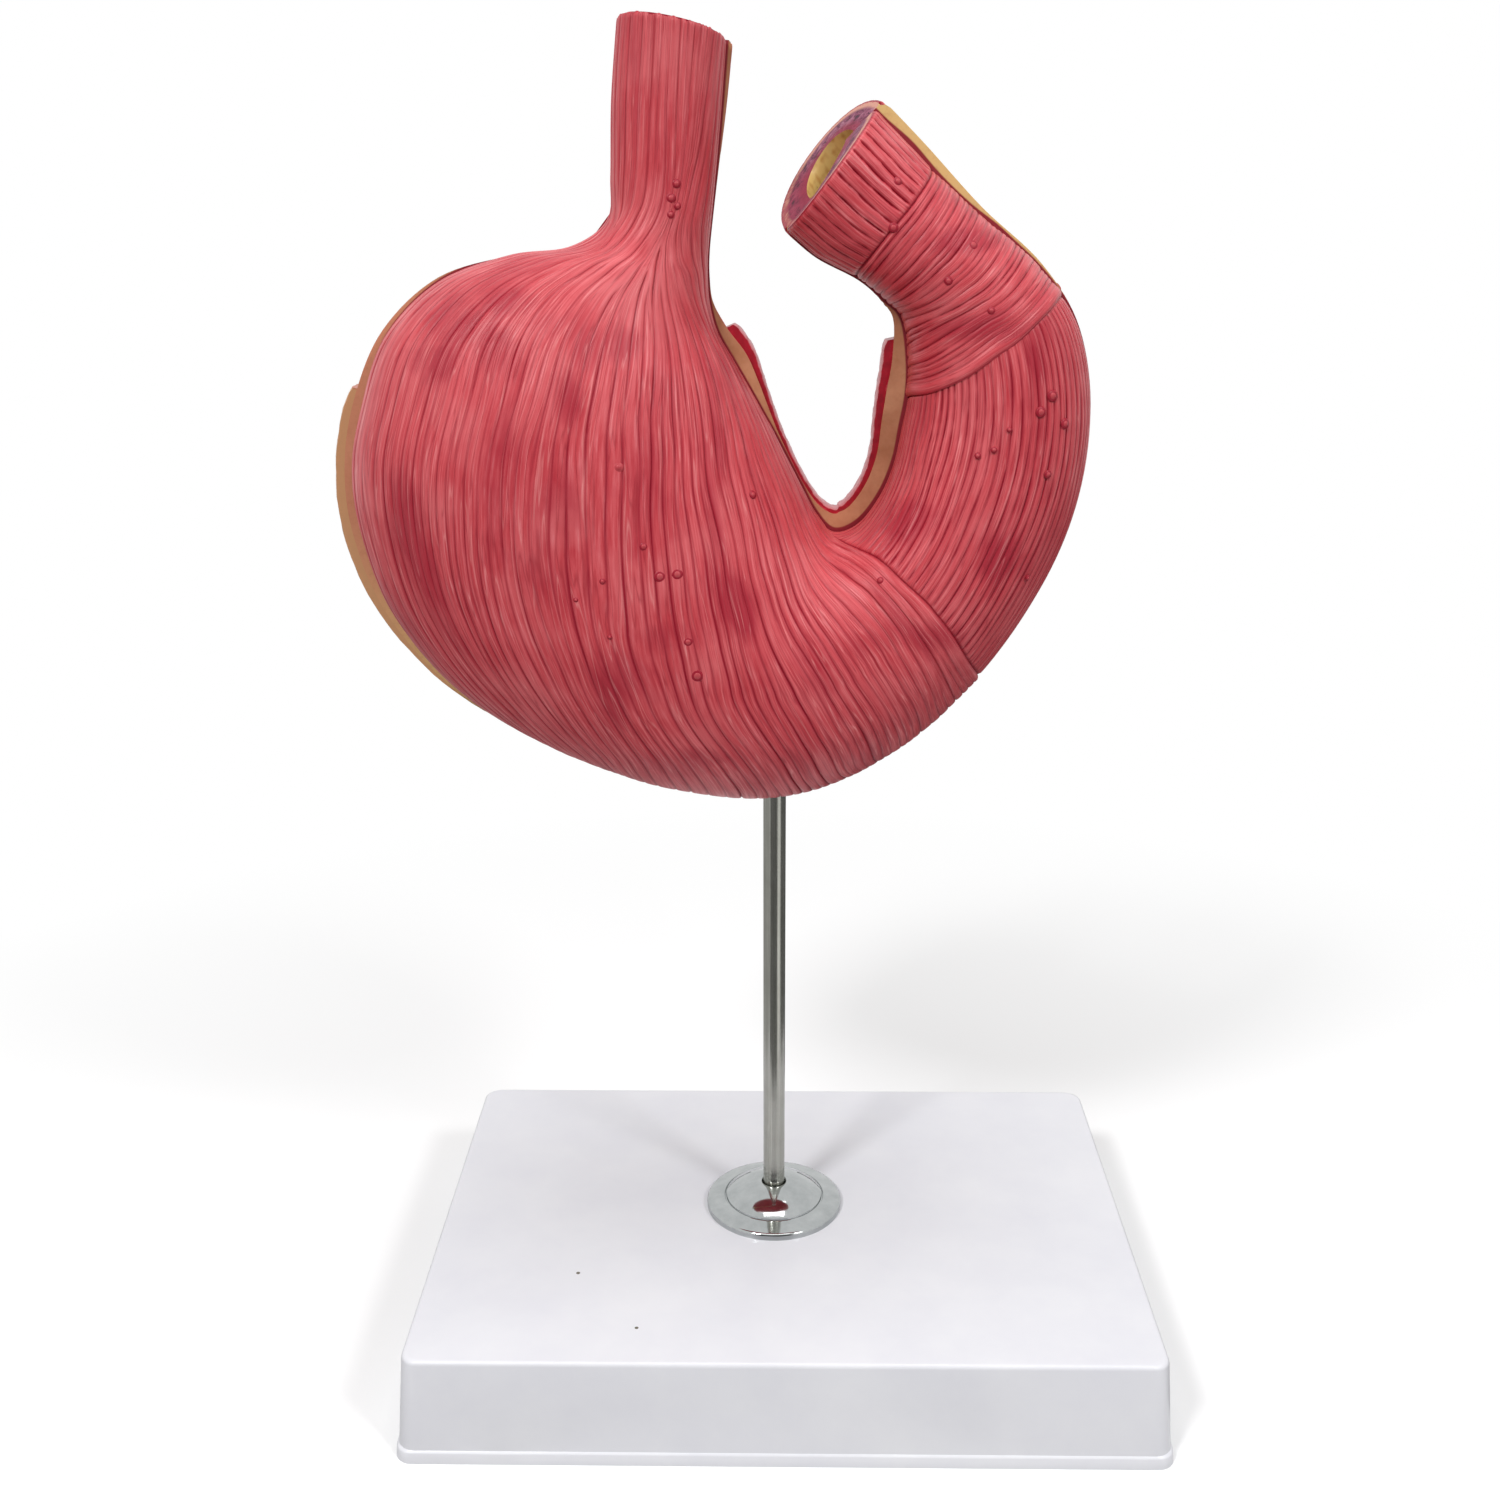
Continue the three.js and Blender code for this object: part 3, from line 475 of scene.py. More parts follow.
def sharpen(piece, degrees):
    piece.data.set_sharp_from_angle(angle=math.radians(degrees))


# Where crimson was left on the front half, as seen in the photograph: each patch's half width and height
CRIMSON_PIXELS = {
    (571, 400): (17, 34), (588, 352): (20, 30), (736, 352): (22, 44), (398, 520): (26, 60), (742, 606): (26, 34),
    (673, 634): (36, 22), (612, 700): (28, 50), (716, 470): (16, 60), (936, 636): (30, 18),
    (850, 420): (18, 60), (905, 520): (40, 24), (1000, 560): (30, 26), (430, 360): (30, 22),
    (690, 760): (60, 16), (880, 640): (40, 20), (1040, 350): (14, 40), (513, 302): (36, 16), (559, 324): (34, 22),
    (608, 343): (36, 20), (453, 322): (36, 28), (500, 350): (24, 30), (965, 240): (40, 14), (985, 330): (50, 16),
}

# Where the lines between the fibres are worn faint on the front half, with each patch's half width and height
FAINT_PIXELS = {(450, 430): (80, 120), (560, 310): (90, 45), (1010, 330): (40, 40)}

# In how many steps a line of fibre is measured, how wide its paint takes a fibre to be, how close two
# points are one, and how far from the parting plane the muscle's edge lies on each half
WALK_STEPS = 60
FIBRE_WIDTH = 2.2
SAME_POINT = 0.03
EDGE_SETBACK = {FRONT: 0.2, REAR: 1.2}
# How far a layer's edge rolls under, how far its collar stands out, and how far the fibres swell and sink
EDGE_ROLL, COLLAR_RISE, SWELL = 0.5, 0.3, 0.15


# How far inside a set of round patches each point is seen, from 0 to 1
def patches_seen(patches, seen):
    inside = np.zeros(len(seen))
    for middle, size in patches.items():
        inside = np.maximum(inside, np.exp(-(((seen - middle) / size) ** 2).sum(-1) ** 1.5))
    return inside


# One layer of muscle on one half, with its fibres cut into it. A collar is the smooth band, so many
# millimetres wide, along its first fibre.
def muscle_layer(side, seed, patch, count, rows, sunk, deepness, spread, ends, drift, ragged, collar):
    mesh = fibre_slab(count, rows)
    flat = vertex_places(mesh)
    whole = (flat[:, 0] + 0.5) * count
    number = np.floor(whole + 1e-4)
    share = COLUMN_PLACES[np.clip(np.round((whole - number) * (CUTS + 1)).astype(int), 0, CUTS)]
    along = flat[:, 1] + 0.5
    along = np.clip(along - END_CROWDING * np.sin(2 * np.pi * along) / (2 * np.pi), 0, 1)

    def line_place(line):
        free = np.clip(np.minimum(line, count - line), 0, 1)
        return line + drift * free * wander(along * 4, line * 2.3 + seed)

    across = np.clip((1 - share) * line_place(number) + share * line_place(number + 1), 0, count)
    along = along + ragged * scatter(np.round(across), seed) * (1 - along) ** 30

    def surface(a, b, under):
        station, angle = patch(a, b)
        back = angle_behind(side, station, EDGE_SETBACK[side])
        return stomach_point(side, station, back + angle * (180 - 2 * back) / 180, under)

    lines, steps = np.meshgrid(np.arange(count + 1.0), np.linspace(0, 1, WALK_STEPS + 1), indexing="ij")
    reached = surface(lines, steps, 0)
    walked = np.cumsum(np.linalg.norm(np.diff(reached, axis=1, prepend=reached[:, :1]), axis=2), axis=1)
    behind = between(walked, across, along * WALK_STEPS)
    ahead = between(walked, across, np.full(len(along), float(WALK_STEPS))) - behind

    forward = surface(across, np.clip(along + 0.004, 0, 1), 0) - surface(across, np.clip(along - 0.004, 0, 1), 0)
    forward /= np.maximum(np.linalg.norm(forward, axis=1, keepdims=True), 1e-6)
    low, high = np.clip(across - 0.1, 0, count), np.clip(across + 0.1, 0, count)
    sideways = surface(high, along, 0) - surface(low, along, 0)
    sideways = sideways - (sideways * forward).sum(1, keepdims=True) * forward
    spacing = np.linalg.norm(sideways, axis=1) / np.maximum(high - low, 1e-6)
    groove = groove_depth(across, along, line_place, spacing, count, spread, seed)
    seen = seen_at(surface(across, along, SKIN_TOP))
    groove = groove * (1 - 0.5 * patches_seen(FAINT_PIXELS, seen) * (side == FRONT))
    edge = np.minimum(across, count - across) * spacing
    in_collar = (collar > 0) * np.exp(-((across * spacing / max(collar, 1e-6)) ** 4))
    groove = groove * (1 - in_collar)
    for at_end, distance in zip(ends, (behind, ahead)):
        if at_end:
            edge = np.minimum(edge, distance)
            groove = groove * (0.25 + 0.75 * smooth_step(distance, 0.3, 1.6))
    rolled = EDGE_ROLL * np.exp(-((edge / EDGE_ROLL) ** 1.5)) - COLLAR_RISE * in_collar
    swell = SWELL * wander(along * 4 + across * 0.21, seed + 3)
    top = flat[:, 2] > -0.5
    under = np.where(top, SKIN_TOP + sunk + SWELL + swell + deepness * groove + rolled, SKIN_FOOT + sunk)
    place_vertices(mesh, surface(across, along, under))
    dark_edge = np.clip(1 - edge / EDGE_ROLL, 0, 1) * 0.8
    write_on_vertices(mesh, "crimson", patches_seen(CRIMSON_PIXELS, seen) * (side == FRONT))
    write_on_vertices(mesh, "groove", np.maximum(groove / (CUT_DEPTH + ROUND_DEPTH), dark_edge))
    write_on_vertices(mesh, "tint", scatter(np.floor(across), seed + 11))
    write_on_vertices(mesh, "across_mm", across * FIBRE_WIDTH)
    write_on_vertices(mesh, "along_mm", behind)
    write_on_vertices(mesh, "room", np.clip((spacing - 0.3) / 1.7, 0, 1))
    bmesh.ops.remove_doubles(mesh, verts=mesh.verts, dist=SAME_POINT * MM)
    bmesh.ops.dissolve_degenerate(mesh, edges=mesh.edges, dist=SAME_POINT * MM / 10)
    return mesh


# The layers: how each lies and how many fibres it has, how many rows it is made in, how far it lies
# below the body's layer, how deep its grooves are and how far apart, whether its edge at the start and
# the end of the fibres shows, how far the fibres wander, how ragged their start is, and its collar
LAYERS = {
    "body": dict(patch=body_patch, count=BODY_COUNT, rows=32, sunk=0.0, deepness=1.0, spread=2.0,
                 ends=(True, False), drift=0.16, ragged=0.0025, collar=0.0),
    "antrum": dict(patch=antrum_patch, count=ANTRUM_COUNT, rows=9, sunk=0.3, deepness=1.0, spread=1.5,
                   ends=(True, True), drift=0.1, ragged=0.0, collar=0.0),
    "pylorus": dict(patch=pylorus_patch, count=PYLORUS_COUNT, rows=14, sunk=0.0, deepness=1.0, spread=1.35,
                    ends=(False, False), drift=0.05, ragged=0.0, collar=2.6),
    "sleeve": dict(patch=sleeve_patch, count=SLEEVE_COUNT, rows=6, sunk=-0.05, deepness=1.9, spread=1.2,
                   ends=(True, True), drift=0.04, ragged=0.0, collar=0.0),
}


# ---------------------------------------------------------------- materials

def colour(code):
    values = [int(code[i:i + 2], 16) / 255 for i in (0, 2, 4)]
    return tuple(v / 12.92 if v <= 0.04045 else ((v + 0.055) / 1.055) ** 2.4 for v in values) + (1.0,)


# Sets a node's inputs, by name or number, from plain values or other nodes' outputs
def set_inputs(tree, node, inputs):
    for name, value in inputs.items():
        if isinstance(value, bpy.types.NodeSocket):
            tree.links.new(value, node.inputs[name])
        else:
            node.inputs[name].default_value = value


# Adds a node to a tree, with its inputs, its settings and, on a colour ramp, its stops
def add_node(tree, kind, inputs, stops=(), **settings):
    node = tree.nodes.new(kind)
    for name, value in settings.items():
        setattr(node, name, value)
    for number, (place, value) in enumerate(stops):
        elements = node.color_ramp.elements
        element = elements[number] if number < len(elements) else elements.new(1.0)
        element.position = place
        element.color = colour(value) if isinstance(value, str) else (value, value, value, 1)
    set_inputs(tree, node, inputs)
    return node


def new_material(name):
    material = bpy.data.materials.new(name)
    material.use_nodes = True
    tree = material.node_tree
    return material, tree, tree.nodes["Principled BSDF"]


# The scale that gives a noise features of a size in millimetres
def per(size_mm):
    return 1 / (size_mm * MM)


# Coats of paint or stain laid over a base in turn: what says how far each one covers it, and its colour.
# Stops turn a pattern into how far it covers.
def laid_over(tree, base, coats):
    for covers, code, *stops in coats:
        if stops:
            covers = add_node(tree, "ShaderNodeValToRGB", {"Fac": covers}, stops).outputs[0]
        base = add_node(tree, "ShaderNodeMix", {0: covers, 6: base, 7: colour(code)}, data_type="RGBA").outputs[2]
    return base


# Patterns drawn out along the fibres, each as its width in millimetres, its width over its length, its
# detail and its roughness: brush streaks 14 mm long, those where the fibres crowd, hair cuts beside the
# grooves, and patches of thicker crimson 47 mm long. Crowded fibres are drawn narrower than their paint
# takes them to be, so those streaks are as narrow as the others.
FIBRE_PATTERNS = [(0.5, 0.035, 5.0, 0.62), (3.2, 0.27, 5.0, 0.62), (1.3, 0.03, 1.0, 0.5), (14, 0.3, 4.0, 0.6)]
# Where the hair cuts and the pale crests between them, a painted highlight, lie in their pattern, how strong they
# are and how wide
HAIR_LINES = [(0.5, 1.0, 0.022), (0.58, 0.6, 0.02)]


# Cast resin painted by hand: crimson run into the grooves, salmon pink wiped over the fibres in streaks, pale
# pink on the crests as a painted highlight, and a satin varnish
def painted_muscle():
    material, tree, shader = new_material("painted_resin_muscle")
    place = add_node(tree, "ShaderNodeTexCoord", {}).outputs["Object"]
    fibre = add_node(tree, "ShaderNodeUVMap", {}, uv_map="fibres").outputs["UV"]
    groove, tint, room, crimson = (add_node(tree, "ShaderNodeAttribute", {}, attribute_name=name).outputs["Fac"]
                                   for name in ("groove", "tint", "room", "crimson"))
    patterns = []
    for width, over_length, detail, roughness in FIBRE_PATTERNS:
        drawn_out = add_node(tree, "ShaderNodeMapping", {"Vector": fibre, "Scale": (1.0, over_length, 1.0)}).outputs[0]
        patterns.append(add_node(tree, "ShaderNodeTexNoise", {
            "Vector": drawn_out, "Scale": per(width), "Detail": detail, "Roughness": roughness}).outputs["Fac"])
    open_streaks, crowd_streaks, hairs, patches = patterns
    streaks = add_node(tree, "ShaderNodeMix", {0: room, 2: crowd_streaks, 3: open_streaks},
                       data_type="FLOAT").outputs[0]
    lines = []
    for middle, strength, half in HAIR_LINES:
        off = add_node(tree, "ShaderNodeMath", {0: hairs, 1: middle}, operation="SUBTRACT").outputs[0]
        off = add_node(tree, "ShaderNodeMath", {0: off}, operation="ABSOLUTE").outputs[0]
        lines.append(add_node(tree, "ShaderNodeValToRGB", {"Fac": off}, [(0.0, strength), (half, 0.0)]).outputs[0])
    hair, crest_highlight = lines
    rubbed = add_node(tree, "ShaderNodeTexNoise", {"Vector": place, "Scale": per(17), "Detail": 3.0}).outputs["Fac"]
    ridge = add_node(tree, "ShaderNodeValToRGB", {"Fac": streaks},
                     [(0.3, "B42C37"), (0.48, "CA4B52"), (0.6, "D66066"), (0.74, "E48C90")]).outputs[0]
    thicker = add_node(tree, "ShaderNodeMath", {0: crimson, 1: 0.22, 2: patches}, operation="MULTIPLY_ADD").outputs[0]
    # The pale pink on the crests is a painted highlight
    on_crest_highlight = add_node(tree, "ShaderNodeMath", {0: crest_highlight, 1: streaks}, operation="MULTIPLY").outputs[0]
    in_hair = add_node(tree, "ShaderNodeMath", {0: hair, 1: 0.45}, operation="MULTIPLY").outputs[0]
    in_groove = add_node(tree, "ShaderNodeValToRGB", {"Fac": groove}, [(0.04, 0.0), (0.26, 0.5), (0.6, 1.0)]).outputs[0]
    crowded = add_node(tree, "ShaderNodeMath", {0: room, 1: 0.65, 2: 0.35}, operation="MULTIPLY_ADD").outputs[0]
    in_groove = add_node(tree, "ShaderNodeMath", {0: in_groove, 1: crowded}, operation="MULTIPLY").outputs[0]
    skin = laid_over(tree, ridge, [
        (tint, "B42E3A", (0.0, 0.0), (1.0, 0.35)), (rubbed, "DA6C70", (0.5, 0.0), (0.7, 0.5)),
        (thicker, "A01A2F", (0.53, 0.0), (0.74, 0.8)), (on_crest_highlight, "F0A6A4"), (in_hair, "8E1626"),
        (in_groove, "98142A")])
    gloss = add_node(tree, "ShaderNodeValToRGB", {"Fac": streaks}, [(0.3, 0.46), (0.7, 0.36)]).outputs[0]
    height = add_node(tree, "ShaderNodeMath", {0: hair, 1: -0.6, 2: streaks}, operation="MULTIPLY_ADD").outputs[0]
    bump = add_node(tree, "ShaderNodeBump", {"Height": height, "Distance": 0.14 * MM, "Strength": 0.6}).outputs[0]
    set_inputs(tree, shader, {"Base Color": skin, "Roughness": gloss, "Normal": bump, "IOR": 1.5,
                              "Specular IOR Level": 0.32})
    return material


# The same resin painted ochre on the rims: yellower at the duodenum, flushed pink on the greater curve,
# with a painted shadow in crimson beside the front half's edge
def painted_ochre():
    material, tree, shader = new_material("painted_resin_ochre")
    place = add_node(tree, "ShaderNodeTexCoord", {}).outputs["Object"]
    yellow, flush, past_line = (add_node(tree, "ShaderNodeAttribute", {}, attribute_name=name).outputs["Fac"]
                                for name in ("yellow", "flush", "past_line"))
    patches = add_node(tree, "ShaderNodeTexNoise", {"Vector": place, "Scale": per(12), "Detail": 4.0,
                                                   "Roughness": 0.6}).outputs["Fac"]
    grain = add_node(tree, "ShaderNodeTexNoise", {"Vector": place, "Scale": per(1.6), "Detail": 4.0,
                                                 "Roughness": 0.6}).outputs["Fac"]
    base = add_node(tree, "ShaderNodeValToRGB", {"Fac": patches},
                    [(0.35, "AE7450"), (0.5, "BE8460"), (0.66, "CC946E")]).outputs[0]
    # The last coat is a painted shadow: crimson on the rim just inside the front half's edge, where the gap between the
    # halves is in shade
    base = laid_over(tree, base, [
        (yellow, "DCBC7A"), (flush, "CA8466"), (grain, "A8683C", (0.5, 0.0), (0.75, 0.3)),
        (past_line, "8C1C2A", (0.46, 0.0), (0.5, 1.0), (0.86, 1.0), (0.98, 0.0))])
    gloss = add_node(tree, "ShaderNodeValToRGB", {"Fac": grain}, [(0.3, 0.4), (0.7, 0.55)]).outputs[0]
    bump = add_node(tree, "ShaderNodeBump", {"Height": grain, "Distance": 0.1 * MM, "Strength": 0.5}).outputs[0]
    set_inputs(tree, shader, {"Base Color": base, "Roughness": gloss, "Normal": bump})
    return material


# The end faces of the tubes: purple-pink paint dabbed on in light and dark, pale along the outer edge,
# crimson towards the hollow and on the lesser curve's side, and ochre right at the hollow
def painted_cut_end():
    material, tree, shader = new_material("painted_resin_cut_end")
    place = add_node(tree, "ShaderNodeTexCoord", {}).outputs["Object"]
    inwards, crimson = (add_node(tree, "ShaderNodeAttribute", {}, attribute_name=name).outputs["Fac"]
                        for name in ("inwards", "crimson"))
    dabs = add_node(tree, "ShaderNodeTexNoise", {"Vector": place, "Scale": per(2.6), "Detail": 5.0, "Roughness": 0.75,
                                                "Distortion": 0.8}).outputs["Fac"]
    wall = add_node(tree, "ShaderNodeValToRGB", {"Fac": dabs},
                    [(0.4, "2E0A22"), (0.46, "6A2844"), (0.53, "884660"), (0.62, "A46E80")]).outputs[0]
    wobble = add_node(tree, "ShaderNodeMath", {0: dabs, 1: 0.3, 2: inwards}, operation="MULTIPLY_ADD").outputs[0]
    dabbed = add_node(tree, "ShaderNodeMath", {0: crimson, 1: dabs}, operation="MULTIPLY").outputs[0]
    wall = laid_over(tree, wall, [
        (wobble, "CC9482", (0.27, 1.0), (0.4, 0.0)), (wobble, "8A1434", (0.72, 0.0), (0.98, 0.7)),
        (wobble, "C8A05E", (1.0, 0.0), (1.0, 1.0)), (dabbed, "8E1236", (0.3, 0.0), (0.55, 0.75))])
    bump = add_node(tree, "ShaderNodeBump", {"Height": dabs, "Distance": 0.15 * MM, "Strength": 0.5}).outputs[0]
    set_inputs(tree, shader, {"Base Color": wall, "Roughness": 0.55, "Normal": bump, "IOR": 1.5,
                              "Specular IOR Level": 0.16})
    return material


# The stomach's lining: folds painted ochre, with a thin red-brown wash in the hollows between them, olive spots
# where the brush skipped, and paler towards the duodenum's mouth as painted light in the hollow
def painted_lining():
    material, tree, shader = new_material("painted_resin_lining")
    place = add_node(tree, "ShaderNodeTexCoord", {}).outputs["Object"]
    fold = add_node(tree, "ShaderNodeAttribute", {}, attribute_name="fold").outputs["Fac"]
    patches = add_node(tree, "ShaderNodeTexNoise", {"Vector": place, "Scale": per(11), "Detail": 4.0,
                                                   "Roughness": 0.6}).outputs["Fac"]
    spots = add_node(tree, "ShaderNodeTexNoise", {"Vector": place, "Scale": per(2.6), "Detail": 2.0}).outputs["Fac"]
    base = add_node(tree, "ShaderNodeValToRGB", {"Fac": fold},
                    [(0.0, "A2643C"), (0.3, "C4924E"), (0.75, "DCB870")]).outputs[0]
    base = laid_over(tree, base, [(patches, "C47E58", (0.48, 0.0), (0.72, 0.3)),
                                  (spots, "5E4A22", (0.66, 0.0), (0.7, 0.75))])
    gloss = add_node(tree, "ShaderNodeValToRGB", {"Fac": patches}, [(0.3, 0.34), (0.7, 0.46)]).outputs[0]
    set_inputs(tree, shader, {"Base Color": base, "Roughness": gloss})
    return material


# The cut edges of the omenta: deep crimson enamel on their faces, ochre where it wasn't reached, rubbed
# pink along the outer edge
def painted_omentum():
    material, tree, shader = new_material("painted_resin_omentum")
    place = add_node(tree, "ShaderNodeTexCoord", {}).outputs["Object"]
    edge, bare = (add_node(tree, "ShaderNodeAttribute", {}, attribute_name=name).outputs["Fac"]
                  for name in ("edge", "bare"))
    grain = add_node(tree, "ShaderNodeTexNoise", {"Vector": place, "Scale": per(2.4), "Detail": 4.0,
                                                 "Roughness": 0.6}).outputs["Fac"]
    base = add_node(tree, "ShaderNodeValToRGB", {"Fac": grain},
                    [(0.35, "9C0C24"), (0.6, "B4122C"), (0.8, "C42A40")]).outputs[0]
    rubbed = add_node(tree, "ShaderNodeMath", {0: edge, 1: grain}, operation="MULTIPLY").outputs[0]
    base = laid_over(tree, base, [(rubbed, "CC7278", (0.25, 0.0), (0.5, 0.85)),
                                  (bare, "C8966A", (0.4, 0.0), (0.6, 1.0))])
    bump = add_node(tree, "ShaderNodeBump", {"Height": grain, "Distance": 0.12 * MM, "Strength": 0.5}).outputs[0]
    set_inputs(tree, shader, {"Base Color": base, "Roughness": 0.34, "Normal": bump})
    return material


# White ABS from a polished mould: a fine satin grain, and handling marks that dull its gloss
def moulded_abs():
    material, tree, shader = new_material("moulded_abs_white")
    place = add_node(tree, "ShaderNodeTexCoord", {}).outputs["Object"]
    grain = add_node(tree, "ShaderNodeTexNoise", {"Vector": place, "Scale": per(0.5), "Detail": 3.0}).outputs["Fac"]
    marks = add_node(tree, "ShaderNodeTexNoise", {"Vector": place, "Scale": per(26), "Detail": 5.0,
                                                 "Roughness": 0.6}).outputs["Fac"]
    base = add_node(tree, "ShaderNodeValToRGB", {"Fac": marks}, [(0.3, "DCDCE2"), (0.7, "E3E3E7")]).outputs[0]
    gloss = add_node(tree, "ShaderNodeValToRGB", {"Fac": marks}, [(0.35, 0.3), (0.7, 0.44)]).outputs[0]
    bump = add_node(tree, "ShaderNodeBump", {"Height": grain, "Distance": 0.02 * MM, "Strength": 0.4}).outputs[0]
    set_inputs(tree, shader, {"Base Color": base, "Roughness": gloss, "Normal": bump, "IOR": 1.53})
    return material


# A speck of grit caught in the white moulding
def grit():
    material, tree, shader = new_material("grit_in_abs")
    place = add_node(tree, "ShaderNodeTexCoord", {}).outputs["Object"]
    mottling = add_node(tree, "ShaderNodeTexNoise", {"Vector": place, "Scale": per(0.3)}).outputs["Fac"]
    base = add_node(tree, "ShaderNodeValToRGB", {"Fac": mottling}, [(0.3, "4A463E"), (0.7, "77705F")]).outputs[0]
    set_inputs(tree, shader, {"Base Color": base, "Roughness": 0.6})
    return material


# Drawn steel rod: fine scratches along it from the die, slightly yellow-grey, with dull handling stains
def drawn_steel():
    material, tree, shader = new_material("drawn_steel")
    place = add_node(tree, "ShaderNodeTexCoord", {}).outputs["Object"]
    lines = add_node(tree, "ShaderNodeMapping", {"Vector": place, "Scale": (1.0, 1.0, 0.012)}).outputs[0]
    scratches = add_node(tree, "ShaderNodeTexNoise", {"Vector": lines, "Scale": per(0.35), "Detail": 4.0,
                                                     "Roughness": 0.6}).outputs["Fac"]
    stains = add_node(tree, "ShaderNodeTexNoise", {"Vector": place, "Scale": per(9), "Detail": 4.0,
                                                  "Roughness": 0.6}).outputs["Fac"]
    base = add_node(tree, "ShaderNodeValToRGB", {"Fac": scratches},
                    [(0.3, "A0A098"), (0.6, "B4B4AC"), (0.8, "C4C4BC")]).outputs[0]
    base = laid_over(tree, base, [(stains, "8A8A80", (0.5, 0.0), (0.75, 0.4))])
    gloss = add_node(tree, "ShaderNodeValToRGB", {"Fac": scratches}, [(0.3, 0.16), (0.7, 0.26)]).outputs[0]
    bump = add_node(tree, "ShaderNodeBump", {"Height": scratches, "Distance": 0.008 * MM, "Strength": 0.5}).outputs[0]
    set_inputs(tree, shader, {"Base Color": base, "Metallic": 1.0, "Roughness": gloss, "Normal": bump})
    return material


# A plated metal: its colour, how rough its plating is and the size of its mottling
def plated(name, codes, roughness, mottling_mm):
    material, tree, shader = new_material(name)
    place = add_node(tree, "ShaderNodeTexCoord", {}).outputs["Object"]
    mottling = add_node(tree, "ShaderNodeTexNoise", {"Vector": place, "Scale": per(mottling_mm), "Detail": 4.0,
                                                    "Roughness": 0.6}).outputs["Fac"]
    base = add_node(tree, "ShaderNodeValToRGB", {"Fac": mottling}, [(0.3, codes[0]), (0.7, codes[1])]).outputs[0]
    gloss = add_node(tree, "ShaderNodeValToRGB", {"Fac": mottling},
                     [(0.3, roughness[0]), (0.7, roughness[1])]).outputs[0]
    set_inputs(tree, shader, {"Base Color": base, "Metallic": 1.0, "Roughness": gloss})
    return material


# Natural nylon sleeve, turned, with faint rings 0.4 mm apart
def turned_nylon():
    material, tree, shader = new_material("turned_nylon")
    place = add_node(tree, "ShaderNodeTexCoord", {}).outputs["Object"]
    rings = add_node(tree, "ShaderNodeMapping", {"Vector": place, "Scale": (0.02, 0.02, 1.0)}).outputs[0]
    turned = add_node(tree, "ShaderNodeTexNoise", {"Vector": rings, "Scale": per(0.4), "Detail": 3.0}).outputs["Fac"]
    base = add_node(tree, "ShaderNodeValToRGB", {"Fac": turned}, [(0.3, "D2CFC4"), (0.7, "DDDACF")]).outputs[0]
    bump = add_node(tree, "ShaderNodeBump", {"Height": turned, "Distance": 0.03 * MM, "Strength": 0.5}).outputs[0]
    set_inputs(tree, shader, {"Base Color": base, "Roughness": 0.5, "Normal": bump, "IOR": 1.53})
    return material


MUSCLE = painted_muscle()
OCHRE = painted_ochre()
CUT_END = painted_cut_end()
LINING = painted_lining()
OMENTUM = painted_omentum()
ABS = moulded_abs()
GRIT = grit()
STEEL = drawn_steel()
CHROME = plated("chrome_plated_steel", ("A6AAAA", "B8BBBB"), (0.05, 0.1), 5.0)
ZINC = plated("zinc_plated_steel", ("A4A6A4", "BCBEBC"), (0.3, 0.45), 2.0)
NICKEL = plated("nickel_plated_magnet", ("A2A4A6", "B2B4B6"), (0.2, 0.3), 2.0)
NYLON = turned_nylon()


# ---------------------------------------------------------------- the two halves

BODY_OF = {FRONT: "front", REAR: "rear"}
HALF_OF = {FRONT: "front_half", REAR: "rear_half"}


def vertex_values(data, name):
    values = np.zeros(len(data.vertices), np.float32)
    data.attributes[name].data.foreach_get("value", values)
    return values


def add_muscle(side):
    for seed, (layer, settings) in enumerate(LAYERS.items(), 1 if side == FRONT else 6):
        name = f"{BODY_OF[side]}_{layer}_muscle"
        piece = finish_piece(name, muscle_layer(side, seed, **settings), [MUSCLE], BODY_OF[side])
        data = piece.data
        corner = np.zeros(len(data.loops), np.int32)
        data.loops.foreach_get("vertex_index", corner)
        spread_out = np.stack([vertex_values(data, "across_mm"), vertex_values(data, "along_mm")], -1) * MM
        data.uv_layers.new(name="fibres").data.foreach_set("uv", spread_out[corner].ravel())
        sharpen(piece, 50)
        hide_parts(HALF_OF[side])


CORE_ALONG, CORE_AROUND = 200, 64
WALL_PAINTS = [OCHRE, CUT_END, LINING, MUSCLE]
FOLD_HEIGHT, FOLD_SPACING = 1.5, 6.5
# How much the wall thickens inwards at the duodenum's end, and how wide the painted shadow in crimson runs
# there on the rim beside the front half's edge, in two wedges: each one's station, its spread and its share of that
# width
MOUTH_LIP = 3.9
MOUTH_SHADOW = 0.85
MOUTH_SHADOW_WEDGES = [(24.15, 0.4, 1.0), (22.75, 0.28, 0.6)]
# How many millimetres of the rear rim's width its line attribute spans from 0 to 1
LINE_SPAN = 8


